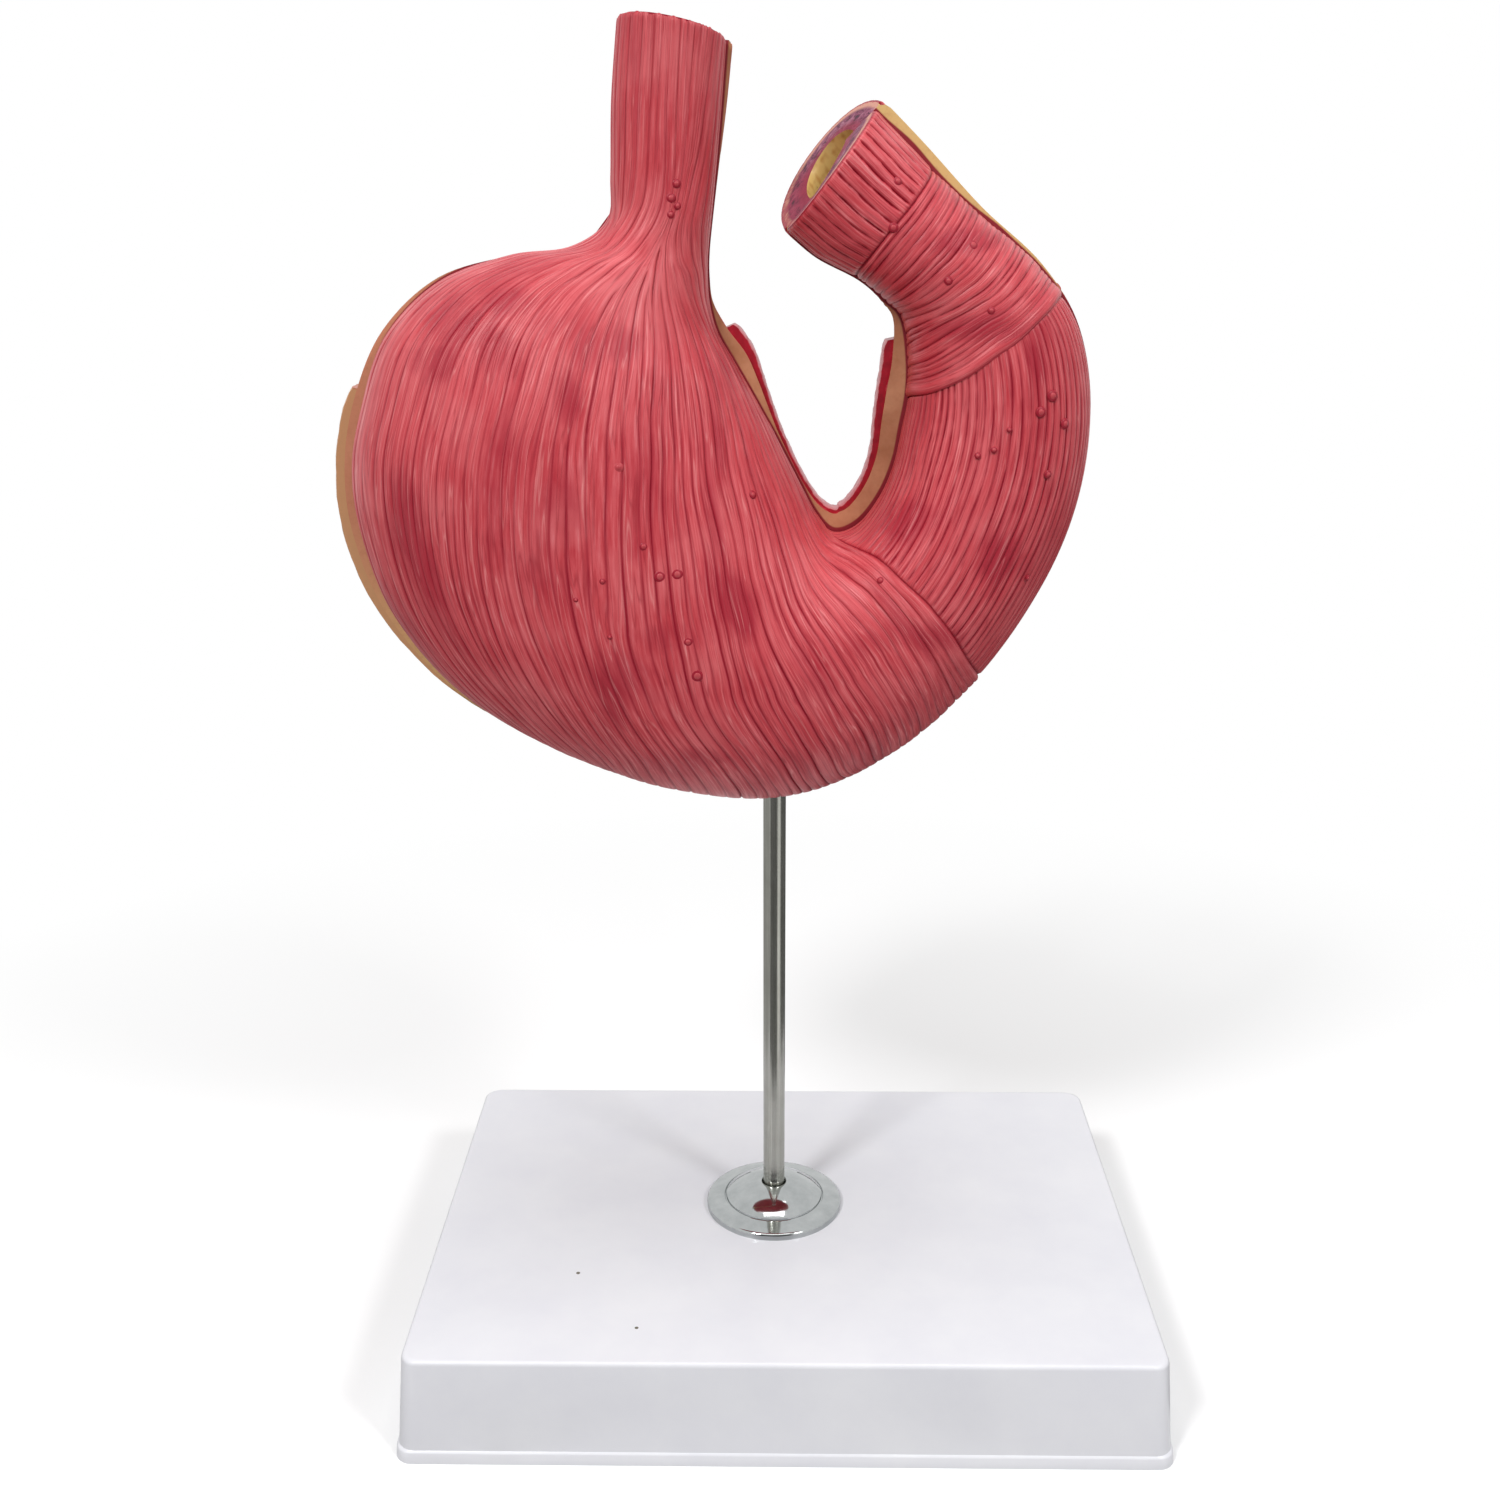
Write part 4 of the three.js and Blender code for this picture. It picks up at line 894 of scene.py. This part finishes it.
# The casting's wall under the muscle: its lining with folds, its ochre rim and its end faces. The muscle
# covers its outside but for the row beside the rear rim, which is ochre too.
def add_wall(side):
    mesh = thickened_grid(CORE_ALONG, CORE_AROUND, [1.0])
    for face in mesh.faces:
        normal = face.normal
        if abs(normal.y) > 0.5:
            paint = OCHRE
        elif abs(normal.x) > 0.5:
            paint = CUT_END
        elif normal.z < 0:
            paint = LINING
        else:
            beside_rim = side == REAR and abs(face.calc_center_median().y) > 0.5 - 1 / CORE_AROUND
            paint = OCHRE if beside_rim else MUSCLE
        face.material_index = WALL_PAINTS.index(paint)
    flat = vertex_places(mesh)
    station, angle = (flat[:, 0] + 0.5) * LAST, (flat[:, 1] + 0.5) * 180
    inner = flat[:, 2] < -0.5
    from_rim = np.minimum(angle, 180 - angle)
    on_rim = from_rim < 1e-3
    bulk = along_stations(STATIONS[:, DEPTH[side]], station)
    thickness = TUBE_WALL + (WALL - TUBE_WALL) * smooth_step(station, 0, 5)
    thickness = thickness + MOUTH_LIP * smooth_step(station, LAST - 1.3, LAST - 0.25)
    girth = bulk * np.radians(angle) * 1.25
    wave = (girth / FOLD_SPACING * 2 * np.pi + 1.6 * wander(station * 1.3, 2)
            + 0.8 * wander(station * 3.1 + angle * 0.03, 5))
    fold = (0.5 + 0.5 * np.cos(wave)) ** 1.5 * (0.75 + 0.25 * wander(station * 2.2 + angle * 0.05, 9))
    fold = fold * smooth_step(from_rim, 2, 14) * smooth_step(station, 0.2, 1.2)
    fold = fold * smooth_step(LAST - station, 0.2, 1.2) * (0.35 + 0.65 * smooth_step(bulk, 14, 30))
    rear_rim = on_rim & (side == REAR)
    worn_corner = 1.6 * np.exp(-(((LAST - station) / 0.1) ** 2)) + 0.8 * np.exp(-((station / 0.05) ** 2))
    outside = np.where(rear_rim, 0.3 + worn_corner, CORE_TOP)
    under = np.where(inner, thickness + np.where(on_rim, 0, FOLD_HEIGHT * fold - 0.3), outside)
    place_vertices(mesh, stomach_point(side, station, angle, under))
    lesser_rim = angle < 90
    band = np.where(lesser_rim, *(along_stations(STATIONS[:, b], station) for b in BAND)) * (side == REAR)
    # The shadow here is a painted shadow: it sets where the rim is painted crimson beside the front half's edge, for
    # the shade in the gap between the halves, widest in the two wedges at the mouth
    wedges = sum(share * np.exp(-((station - middle) / spread) ** 2) for middle, spread, share in MOUTH_SHADOW_WEDGES)
    shadow = np.where(lesser_rim, 0.0, 0.05 + MOUTH_SHADOW * wedges - front_inset(station))
    # How far inside the front half's edge the rim's points lie, with 0.5 at that edge
    write_on_vertices(mesh, "past_line", np.where(rear_rim, (under - band + shadow) / LINE_SPAN + 0.5, 0))
    below = np.where(lesser_rim, 0.0, 0.1 + 0.5 * smooth_step(station, 9.5, 11))
    write_on_vertices(mesh, "yellow", np.minimum(1, below + 0.65 * smooth_step(station, 21.3, 23)))
    flush = 0.7 * (angle > 90) * smooth_step(station, 5, 7) * (1 - smooth_step(station, 10, 12))
    write_on_vertices(mesh, "flush", flush)
    # Painted light: the lining is painted paler towards the duodenum's mouth, as if lit far into the hollow
    mouth_painted_light = smooth_step(station, 21, 23.5) * (0.75 + 0.6 * wander(station * 18 + angle * 0.12, 3))
    write_on_vertices(mesh, "fold", np.where(inner, np.maximum(fold, mouth_painted_light), 0.5))
    write_on_vertices(mesh, "inwards", inner.astype(float))
    write_on_vertices(mesh, "crimson", 1 - smooth_step(angle, 45, 130))
    write_on_vertices(mesh, "groove", 1.0)
    write_on_vertices(mesh, "room", 1.0)
    piece = finish_piece(f"{BODY_OF[side]}_wall", mesh, WALL_PAINTS, BODY_OF[side])
    sharpen(piece, 40)
    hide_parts(HALF_OF[side])


# Each cut omentum: its curve, the stations it runs between, how far behind the parting plane it starts,
# its depth, how far it is rooted in the wall, its widths from end to end and how much of it is bare ochre
OMENTA = {
    "lesser_omentum_edge": (LESSER, 7, 20.5, 2.0, 7.0, 1.0, [2.6, 1.2, 0.8, 0.9, 1.2, 1.8, 2.4], 0.0),
    "greater_omentum_edge": (GREATER, 7.9, 12.5, 0.4, 8.0, 2.0, [2.2, 2.6, 0.3], 1.0),
}


# About how far apart two stations are, in millimetres
STATION_LENGTH = 9


# A cut omentum: a strip that stands out from the rear half's side, worn round at its edges
def add_omentum(name, curve, start, end, setback, depth, root, widths, bareness):
    mesh = thickened_grid(int((end - start) * STATION_LENGTH), 8, [0.12, 0.88])
    flat = vertex_places(mesh)
    share = flat[:, 0] + 0.5
    station = start + (end - start) * share
    y = setback + depth * (flat[:, 1] + 0.5)
    band = along_stations(STATIONS[:, BAND[0 if curve == LESSER else 1]], station)
    width = np.interp(share * (len(widths) - 1), range(len(widths)), widths)
    from_side = np.minimum(flat[:, 1] + 0.5, 0.5 - flat[:, 1]) * depth
    from_end = np.minimum(share, 1 - share) * (end - start) * STATION_LENGTH
    top, foot = flat[:, 2] > -0.05, flat[:, 2] < -0.5
    worn = 0.35 * np.exp(-from_side / 0.5) + 0.8 * np.exp(-from_end / 1.2)
    ragged = 0.14 * (1 + wander(station * 11 + y * 0.7, 4))
    reach = np.maximum(width - worn - ragged, -0.5) - np.where(top, 0, 0.35)
    point = curve_point(curve, station, band + np.where(foot, -root, reach))
    place_vertices(mesh, np.stack([point[:, 0], y, point[:, 1]], -1) + STOMACH_PLACE)
    write_on_vertices(mesh, "edge", top.astype(float))
    write_on_vertices(mesh, "bare", bareness * smooth_step(share, -0.03, 0.03))
    piece = finish_piece(name, mesh, [OMENTUM], "rear")
    sharpen(piece, 50)
    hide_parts("rear_half")


for side in (FRONT, REAR):
    add_muscle(side)
    add_wall(side)
for name, omentum in OMENTA.items():
    add_omentum(name, *omentum)

# Air bubbles that burst at the mould's face, where the photograph shows them, and their radius in millimetres
BUBBLE_PIXELS = {
    (618, 467): 0.9, (646, 547): 0.8, (661, 576): 1.1, (677, 573): 1.1, (602, 582): 0.6, (688, 642): 0.9,
    (696, 677): 1.2, (753, 495): 0.8, (1053, 394): 1.1, (1042, 411): 1.0, (1065, 424): 1.0, (1048, 475): 0.8,
    (978, 455): 0.6, (994, 449): 0.6, (899, 182): 0.8, (893, 227): 0.9, (973, 244): 0.9, (948, 280): 0.8,
    (992, 310): 0.7, (676, 184): 0.8, (671, 199): 0.9, (677, 205): 0.7, (670, 214): 0.7, (575, 602): 0.5,
    (608, 637): 0.5, (881, 580): 0.7, (1009, 430): 0.5, (1028, 577): 0.6,
}
# A bubble's dark rim and its dome: each one's share of that radius, and its height in millimetres
BUBBLE_RIM, BUBBLE_DOME = (1.28, 0.33), (0.84, 0.47)


# A flat bead at a place, standing out along a direction
def add_bead(mesh, place, direction, radius, height, groove):
    made = bmesh.ops.create_uvsphere(mesh, u_segments=16, v_segments=8, radius=1.0)
    turn = Vector((0, 0, 1)).rotation_difference(Vector(direction)).to_matrix().to_4x4()
    shape = Matrix.Translation(Vector(place) * MM) @ turn @ Matrix.Diagonal((radius * MM, radius * MM, height * MM, 1))
    bmesh.ops.transform(mesh, matrix=shape, verts=made["verts"])
    layer = mesh.verts.layers.float.get("groove") or mesh.verts.layers.float.new("groove")
    for vertex in mesh.verts:
        if vertex in made["verts"]:
            vertex[layer] = groove


def add_bubbles():
    station, angle = np.meshgrid(np.arange(0.05, LAST, 0.05), np.arange(2, 178, 1.0), indexing="ij")
    skin = stomach_point(FRONT, station, angle, SKIN_TOP + 0.25)
    pixels = seen_at(skin)
    away = np.gradient(skin, axis=0), np.gradient(skin, axis=1)
    normal = np.cross(away[1], away[0])
    normal *= np.sign((normal * (np.array(CAMERA_PLACE) - skin)).sum(-1, keepdims=True))
    normal /= np.linalg.norm(normal, axis=-1, keepdims=True)
    rims, domes = bmesh.new(), bmesh.new()
    for pixel, radius in BUBBLE_PIXELS.items():
        nearest = np.unravel_index(np.argmin(((pixels - pixel) ** 2).sum(-1)), station.shape)
        add_bead(rims, skin[nearest], normal[nearest], radius * BUBBLE_RIM[0], BUBBLE_RIM[1], 1.0)
        add_bead(domes, skin[nearest], normal[nearest], radius * BUBBLE_DOME[0], BUBBLE_DOME[1], 0.0)
    for mesh in (rims, domes):
        write_on_vertices(mesh, "room", 1.0)
    finish_piece("muscle_bubble_rims", rims, [MUSCLE], "front")
    finish_piece("muscle_bubbles", domes, [MUSCLE], "front")


add_bubbles()


# ---------------------------------------------------------------- the stand

# How near its axis a solid turned body starts
AXIS = 0.001


# A body turned about an upright axis from a closed profile of (radius, height) in millimetres. The boss
# takes the lining's paint, which reads how far out of the folds it is.
def turned_body(name, centre, profile, steps, material, body):
    mesh = bmesh.new()
    ring = [mesh.verts.new((centre[0] + r, centre[1], z)) for r, z in profile]
    edges = [mesh.edges.new(pair) for pair in zip(ring, ring[1:] + ring[:1])]
    bmesh.ops.spin(mesh, geom=ring + edges, cent=(*centre, 0), axis=(0, 0, 1), angle=2 * math.pi,
                   steps=steps, use_merge=True, use_duplicate=False)
    bmesh.ops.remove_doubles(mesh, verts=mesh.verts, dist=1e-4)
    bmesh.ops.recalc_face_normals(mesh, faces=mesh.faces)
    bmesh.ops.scale(mesh, verts=mesh.verts, vec=(MM, MM, MM))
    write_on_vertices(mesh, "fold", 0.8)
    piece = finish_piece(name, mesh, [material], body)
    sharpen(piece, 35)
    return piece


# Drills a round hole on the rod's axis into a finished piece
def drill(piece, radius, low, high):
    mesh = bmesh.new()
    bmesh.ops.create_cone(mesh, cap_ends=True, segments=48, radius1=radius * MM, radius2=radius * MM,
                          depth=(high - low) * MM)
    bmesh.ops.translate(mesh, verts=mesh.verts, vec=Vector((*ROD_PLACE, (low + high) / 2)) * MM)
    bit = placed("drill", mesh)
    cut = piece.modifiers.new("hole", "BOOLEAN")
    cut.operation, cut.solver, cut.object = "DIFFERENCE", "EXACT", bit
    drilled = bpy.data.meshes.new_from_object(piece.evaluated_get(bpy.context.evaluated_depsgraph_get()))
    piece.modifiers.clear()
    piece.data = drilled
    bpy.data.objects.remove(bit)


STOMACH_BOTTOM = BASE_HEIGHT + ROD_FREE_LENGTH
low, high = (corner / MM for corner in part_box("rod"))
rod = turned_body("rod_bar", ROD_PLACE, [
    (AXIS, low.z), (ROD_RADIUS - 0.5, low.z), (ROD_RADIUS, low.z + 0.5),
    (ROD_RADIUS, high.z - 0.5), (ROD_RADIUS - 0.5, high.z), (AXIS, high.z)], 64, STEEL, "stand")
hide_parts("rod")

# The boss inside the rear half that holds the sleeve, and the hole up to it
boss_radius = SOCKET_BORE + SOCKET_WALL
boss = turned_body("socket_boss", ROD_PLACE, [(r, STOMACH_BOTTOM + z) for r, z in [
    (SOCKET_BORE, BOSS_ROOT), (boss_radius, BOSS_ROOT), (boss_radius, SOCKET_TOP - 1),
    (boss_radius - 0.4, SOCKET_TOP), (boss_radius / 2 + 0.6, SOCKET_TOP + 2.7),
    (boss_radius / 2 - 0.4, SOCKET_TOP + 3), (AXIS, SOCKET_TOP + 3), (AXIS, SOCKET_TOP), (SOCKET_BORE, SOCKET_TOP)]],
    48, LINING, "rear")
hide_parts("rear_half")
for name in ("rear_wall", "rear_body_muscle"):
    drill(bpy.data.objects[name], SOCKET_BORE, STOMACH_BOTTOM - 8, STOMACH_BOTTOM + 12)

# The cover: an edge 2 mm high, a rim that rises to a seam, a low dome, and a lip rolled in at the rod
COVER_PROFILE = [
    (19.1, 0), (19.1, 1.2), (18.98, 1.6), (18.7, 1.85), (18.3, 1.98), (16.5, 2.3), (14.5, 2.8), (14.1, 2.86),
    (13.9, 2.6), (13.65, 2.72), (13.5, 3.3), (12.9, 3.8), (11.4, 4.85), (9.4, 5.9), (7.2, 6.75), (5.4, 7.25),
    (4.6, 7.42), (4.1, 7.5), (3.7, 7.4), (3.35, 7.1), (3.2, 6.6), (3.2, 6.0),
    (4.4, 6.35), (7.2, 5.75), (9.4, 4.85), (11.4, 3.75), (13.0, 2.6), (14.2, 1.95), (16.4, 1.4), (18.1, 1.0),
    (18.1, 0),
]
cover = turned_body("rod_cover_dome", ROD_PLACE, [(r, BASE_HEIGHT + z) for r, z in COVER_PROFILE], 96, CHROME,
                    "stand")
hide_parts("rod_cover")


def draft_at(z):
    return BASE_DRAFT * (1 - z / BASE_HEIGHT)


# Raises a face of the base through levels of (height, how far its edge stands out), drawing walls behind it
def draw_wall(mesh, faces, levels, spread_now, keep_first):
    for z, spread in levels:
        made = bmesh.ops.extrude_face_region(mesh, geom=faces + edges_of(faces), use_keep_orig=keep_first)
        keep_first = False
        faces = [g for g in made["geom"] if isinstance(g, bmesh.types.BMFace)]
        for vertex in (g for g in made["geom"] if isinstance(g, bmesh.types.BMVert)):
            vertex.co.x += (spread + draft_at(z) - spread_now) * math.copysign(1, vertex.co.x)
            vertex.co.y += (spread + draft_at(z) - spread_now) * math.copysign(1, vertex.co.y)
            vertex.co.z = z
        spread_now = spread + draft_at(z)


# The base: a moulded tray turned over, with leaning sides and a band along its foot
def add_base():
    mesh = bmesh.new()
    bmesh.ops.create_grid(mesh, x_segments=1, y_segments=1, size=0.5)
    foot_spread = LIP_PROUD + draft_at(0)
    bmesh.ops.scale(mesh, verts=mesh.verts, vec=(BASE_SIZE[0] + 2 * foot_spread, BASE_SIZE[1] + 2 * foot_spread, 1))
    bmesh.ops.bevel(mesh, geom=mesh.verts[:], offset=BASE_CORNER + draft_at(0), affect="VERTICES", segments=8,
                    profile=0.5, material=-1)
    bmesh.ops.reverse_faces(mesh, faces=mesh.faces)
    foot = mesh.faces[:]
    draw_wall(mesh, foot, [
        (0.25, LIP_PROUD), (LIP_HEIGHT - 0.15, LIP_PROUD), (LIP_HEIGHT + 0.1, LIP_PROUD - 0.12),
        (LIP_HEIGHT + 0.5, 0.0), (BASE_HEIGHT - 1.2, 0.0), (BASE_HEIGHT - 0.75, -0.08),
        (BASE_HEIGHT - 0.35, -0.3), (BASE_HEIGHT - 0.1, -0.62), (BASE_HEIGHT, -1.05)], foot_spread, True)
    bmesh.ops.inset_region(mesh, faces=foot, thickness=LIP_PROUD + SHELL_WALL, use_even_offset=True)
    draw_wall(mesh, foot, [(BASE_HEIGHT - SHELL_TOP, -SHELL_WALL)], draft_at(0) - SHELL_WALL, False)
    bmesh.ops.recalc_face_normals(mesh, faces=mesh.faces)
    bmesh.ops.scale(mesh, verts=mesh.verts, vec=(MM, MM, MM))
    base = finish_piece("base_tray", mesh, [ABS], "stand")
    drill(base, ROD_HOLE, BASE_HEIGHT - SHELL_TOP - 2, BASE_HEIGHT + 2)
    sharpen(base, 40)
    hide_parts("base_shell")
    tray_top = BASE_HEIGHT - SHELL_TOP + 0.5
    boss_low = BASE_HEIGHT - SHELL_TOP - BOSS_DEPTH
    boss = turned_body("base_boss", ROD_PLACE, [
        (ROD_HOLE, boss_low), (BOSS_RADIUS - 0.4, boss_low), (BOSS_RADIUS, boss_low + 0.4), (BOSS_RADIUS, tray_top),
        (ROD_HOLE, tray_top)], 48, ABS, "stand")
    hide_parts("base_shell")
    for number in (1, 2, 3, 4):
        screw = sum(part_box(f"base_screw_{number}"), Vector()) / 2 / MM
        post = turned_body(f"base_post_{number}", (screw.x, screw.y), [
            (POST_BORE, PLATE_THICKNESS), (POST_RADIUS - 0.3, PLATE_THICKNESS), (POST_RADIUS, PLATE_THICKNESS + 0.3),
            (POST_RADIUS, tray_top), (POST_BORE, tray_top)], 24, ABS, "stand")
        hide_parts("base_shell")


add_base()

# Grit in the moulding, where the photograph shows it on the base's top
GRIT_PIXELS = {(579, 1273): 0.55, (637, 1328): 0.5, (726, 1207): 0.3}


def add_grit():
    x, y = np.meshgrid(np.arange(-90, 90, 0.5), np.arange(-62, 62, 0.5), indexing="ij")
    face = np.stack([x, y, np.full(x.shape, BASE_HEIGHT)], -1)
    pixels = seen_at(face)
    mesh = bmesh.new()
    for pixel, radius in GRIT_PIXELS.items():
        nearest = np.unravel_index(np.argmin(((pixels - pixel) ** 2).sum(-1)), x.shape)
        add_bead(mesh, face[nearest], (0, 0, 1), radius, 0.05, 0.0)
    finish_piece("base_grit", mesh, [GRIT], "stand")


add_grit()

FINISHES = {"base_plate": ABS, "base_screw": ZINC, "rod_upper_nut": ZINC, "rod_lower_nut": ZINC, "rod_washer": ZINC,
            "locating_pin": ZINC, "rear_magnet": NICKEL, "front_magnet": NICKEL, "rod_socket": NYLON}
for node_name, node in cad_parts.items():
    for start, finish in FINISHES.items():
        if node_name.startswith(start):
            node.data.materials.clear()
            node.data.materials.append(finish)


# ---------------------------------------------------------------- floor and light

# 1 for the rays that look at a thing, straight, in a mirror or through glass, and 0 for those that light it
def looking_rays(tree):
    rays = add_node(tree, "ShaderNodeLightPath", {}).outputs
    seen = add_node(tree, "ShaderNodeMath", {0: rays["Is Camera Ray"], 1: rays["Is Glossy Ray"]},
                    operation="ADD").outputs[0]
    return add_node(tree, "ShaderNodeMath", {0: seen, 1: rays["Is Transmission Ray"]}, operation="ADD",
                    use_clamp=True).outputs[0]


# White card round the stand, which fades into the white of the background further out
def white_card():
    material, tree, shader = new_material("white_card")
    place = add_node(tree, "ShaderNodeTexCoord", {}).outputs["Object"]
    away = add_node(tree, "ShaderNodeVectorMath", {0: place}, operation="LENGTH").outputs["Value"]
    far = add_node(tree, "ShaderNodeMapRange", {"Value": away, "From Min": 0.16, "From Max": 0.42}).outputs["Result"]
    seen = looking_rays(tree)
    far = add_node(tree, "ShaderNodeMath", {0: far, 1: seen}, operation="MULTIPLY").outputs[0]
    white = add_node(tree, "ShaderNodeEmission", {"Color": colour("FFFFFF"), "Strength": 1.0})
    card = laid_over(tree, colour("A8A8A8"), [(seen, "F8F8F8")])
    set_inputs(tree, shader, {"Base Color": card, "Roughness": 0.9, "Specular IOR Level": 0.1})
    mix = add_node(tree, "ShaderNodeMixShader", {"Fac": far, 1: shader.outputs["BSDF"], 2: white.outputs["Emission"]})
    set_inputs(tree, tree.nodes["Material Output"], {"Surface": mix.outputs["Shader"]})
    return material


mesh = bmesh.new()
bmesh.ops.create_grid(mesh, x_segments=1, y_segments=1, size=4.0)
floor = placed("floor", mesh)
floor.data.materials.append(white_card())


# A soft lamp: a square panel at a place, aimed at the stomach
def soft_lamp(name, place, size, power):
    data = bpy.data.lights.new(name, "AREA")
    data.shape = "SQUARE"
    data.size = size
    data.energy = power
    lamp = bpy.data.objects.new(name, data)
    lamp.location = place
    aim = Vector((0, 0, 0.2)) - Vector(place)
    lamp.rotation_euler = aim.to_track_quat("-Z", "Y").to_euler()
    bpy.context.scene.collection.objects.link(lamp)


soft_lamp("key_panel", (-0.75, -1.1, 1.45), 0.32, 15.5)
soft_lamp("fill_panel", (0.95, -0.95, 1.3), 0.3, 9)
soft_lamp("top_panel", (0.0, -0.1, 1.9), 1.0, 12.2)


# A card that only reflections show
def reflected_card(name, mesh, shade):
    material, tree, shader = new_material(name)
    set_inputs(tree, shader, {"Base Color": colour(shade), "Roughness": 0.9})
    card = placed(name, mesh)
    card.data.materials.append(material)
    card.visible_camera = card.visible_diffuse = card.visible_shadow = False


# The dark room behind the camera, and sectors of the table round the rod as (start, end) in degrees from
# the front, with their shades
mesh = bmesh.new()
bmesh.ops.create_grid(mesh, x_segments=1, y_segments=1, size=0.5)
bmesh.ops.rotate(mesh, verts=mesh.verts, cent=(0, 0, 0), matrix=Matrix.Rotation(math.pi / 2, 3, "X"))
bmesh.ops.scale(mesh, verts=mesh.verts, vec=(1.7, 1, 1.4))
bmesh.ops.translate(mesh, verts=mesh.verts, vec=(0, -1.5, 0.5))
reflected_card("dark_room", mesh, "4A4A4A")
TABLE_SECTORS = {"dark_front": (-44, 32, "585858"), "grey_left": (-170, -46, "AAAAAA"),
                 "dark_right": (64, 170, "606060")}
rod_foot = (ROD_PLACE[0] * MM, ROD_PLACE[1] * MM, 0)
for name, (start, end, shade) in TABLE_SECTORS.items():
    mesh = bmesh.new()
    line = [mesh.verts.new((rod_foot[0], rod_foot[1] - reach, 0.001)) for reach in (0.1, 1.3)]
    bmesh.ops.rotate(mesh, verts=line, cent=rod_foot, matrix=Matrix.Rotation(math.radians(start), 3, "Z"))
    bmesh.ops.spin(mesh, geom=line + [mesh.edges.new(line)], cent=rod_foot, axis=(0, 0, 1),
                   angle=math.radians(end - start), steps=12, use_duplicate=False)
    reflected_card(name, mesh, shade)

world = bpy.data.worlds.new("studio")
bpy.context.scene.world = world
world.use_nodes = True
tree = world.node_tree
background = tree.nodes["Background"]
set_inputs(tree, background, {"Color": colour("FFFFFF"), "Strength": 0.4})
seen = add_node(tree, "ShaderNodeBackground", {"Color": colour("FFFFFF"), "Strength": 1.0})
mix = add_node(tree, "ShaderNodeMixShader", {"Fac": looking_rays(tree), 1: background.outputs["Background"],
                                             2: seen.outputs["Background"]})
set_inputs(tree, tree.nodes["World Output"], {"Surface": mix.outputs["Shader"]})

bpy.context.scene.view_settings.view_transform = "Standard"
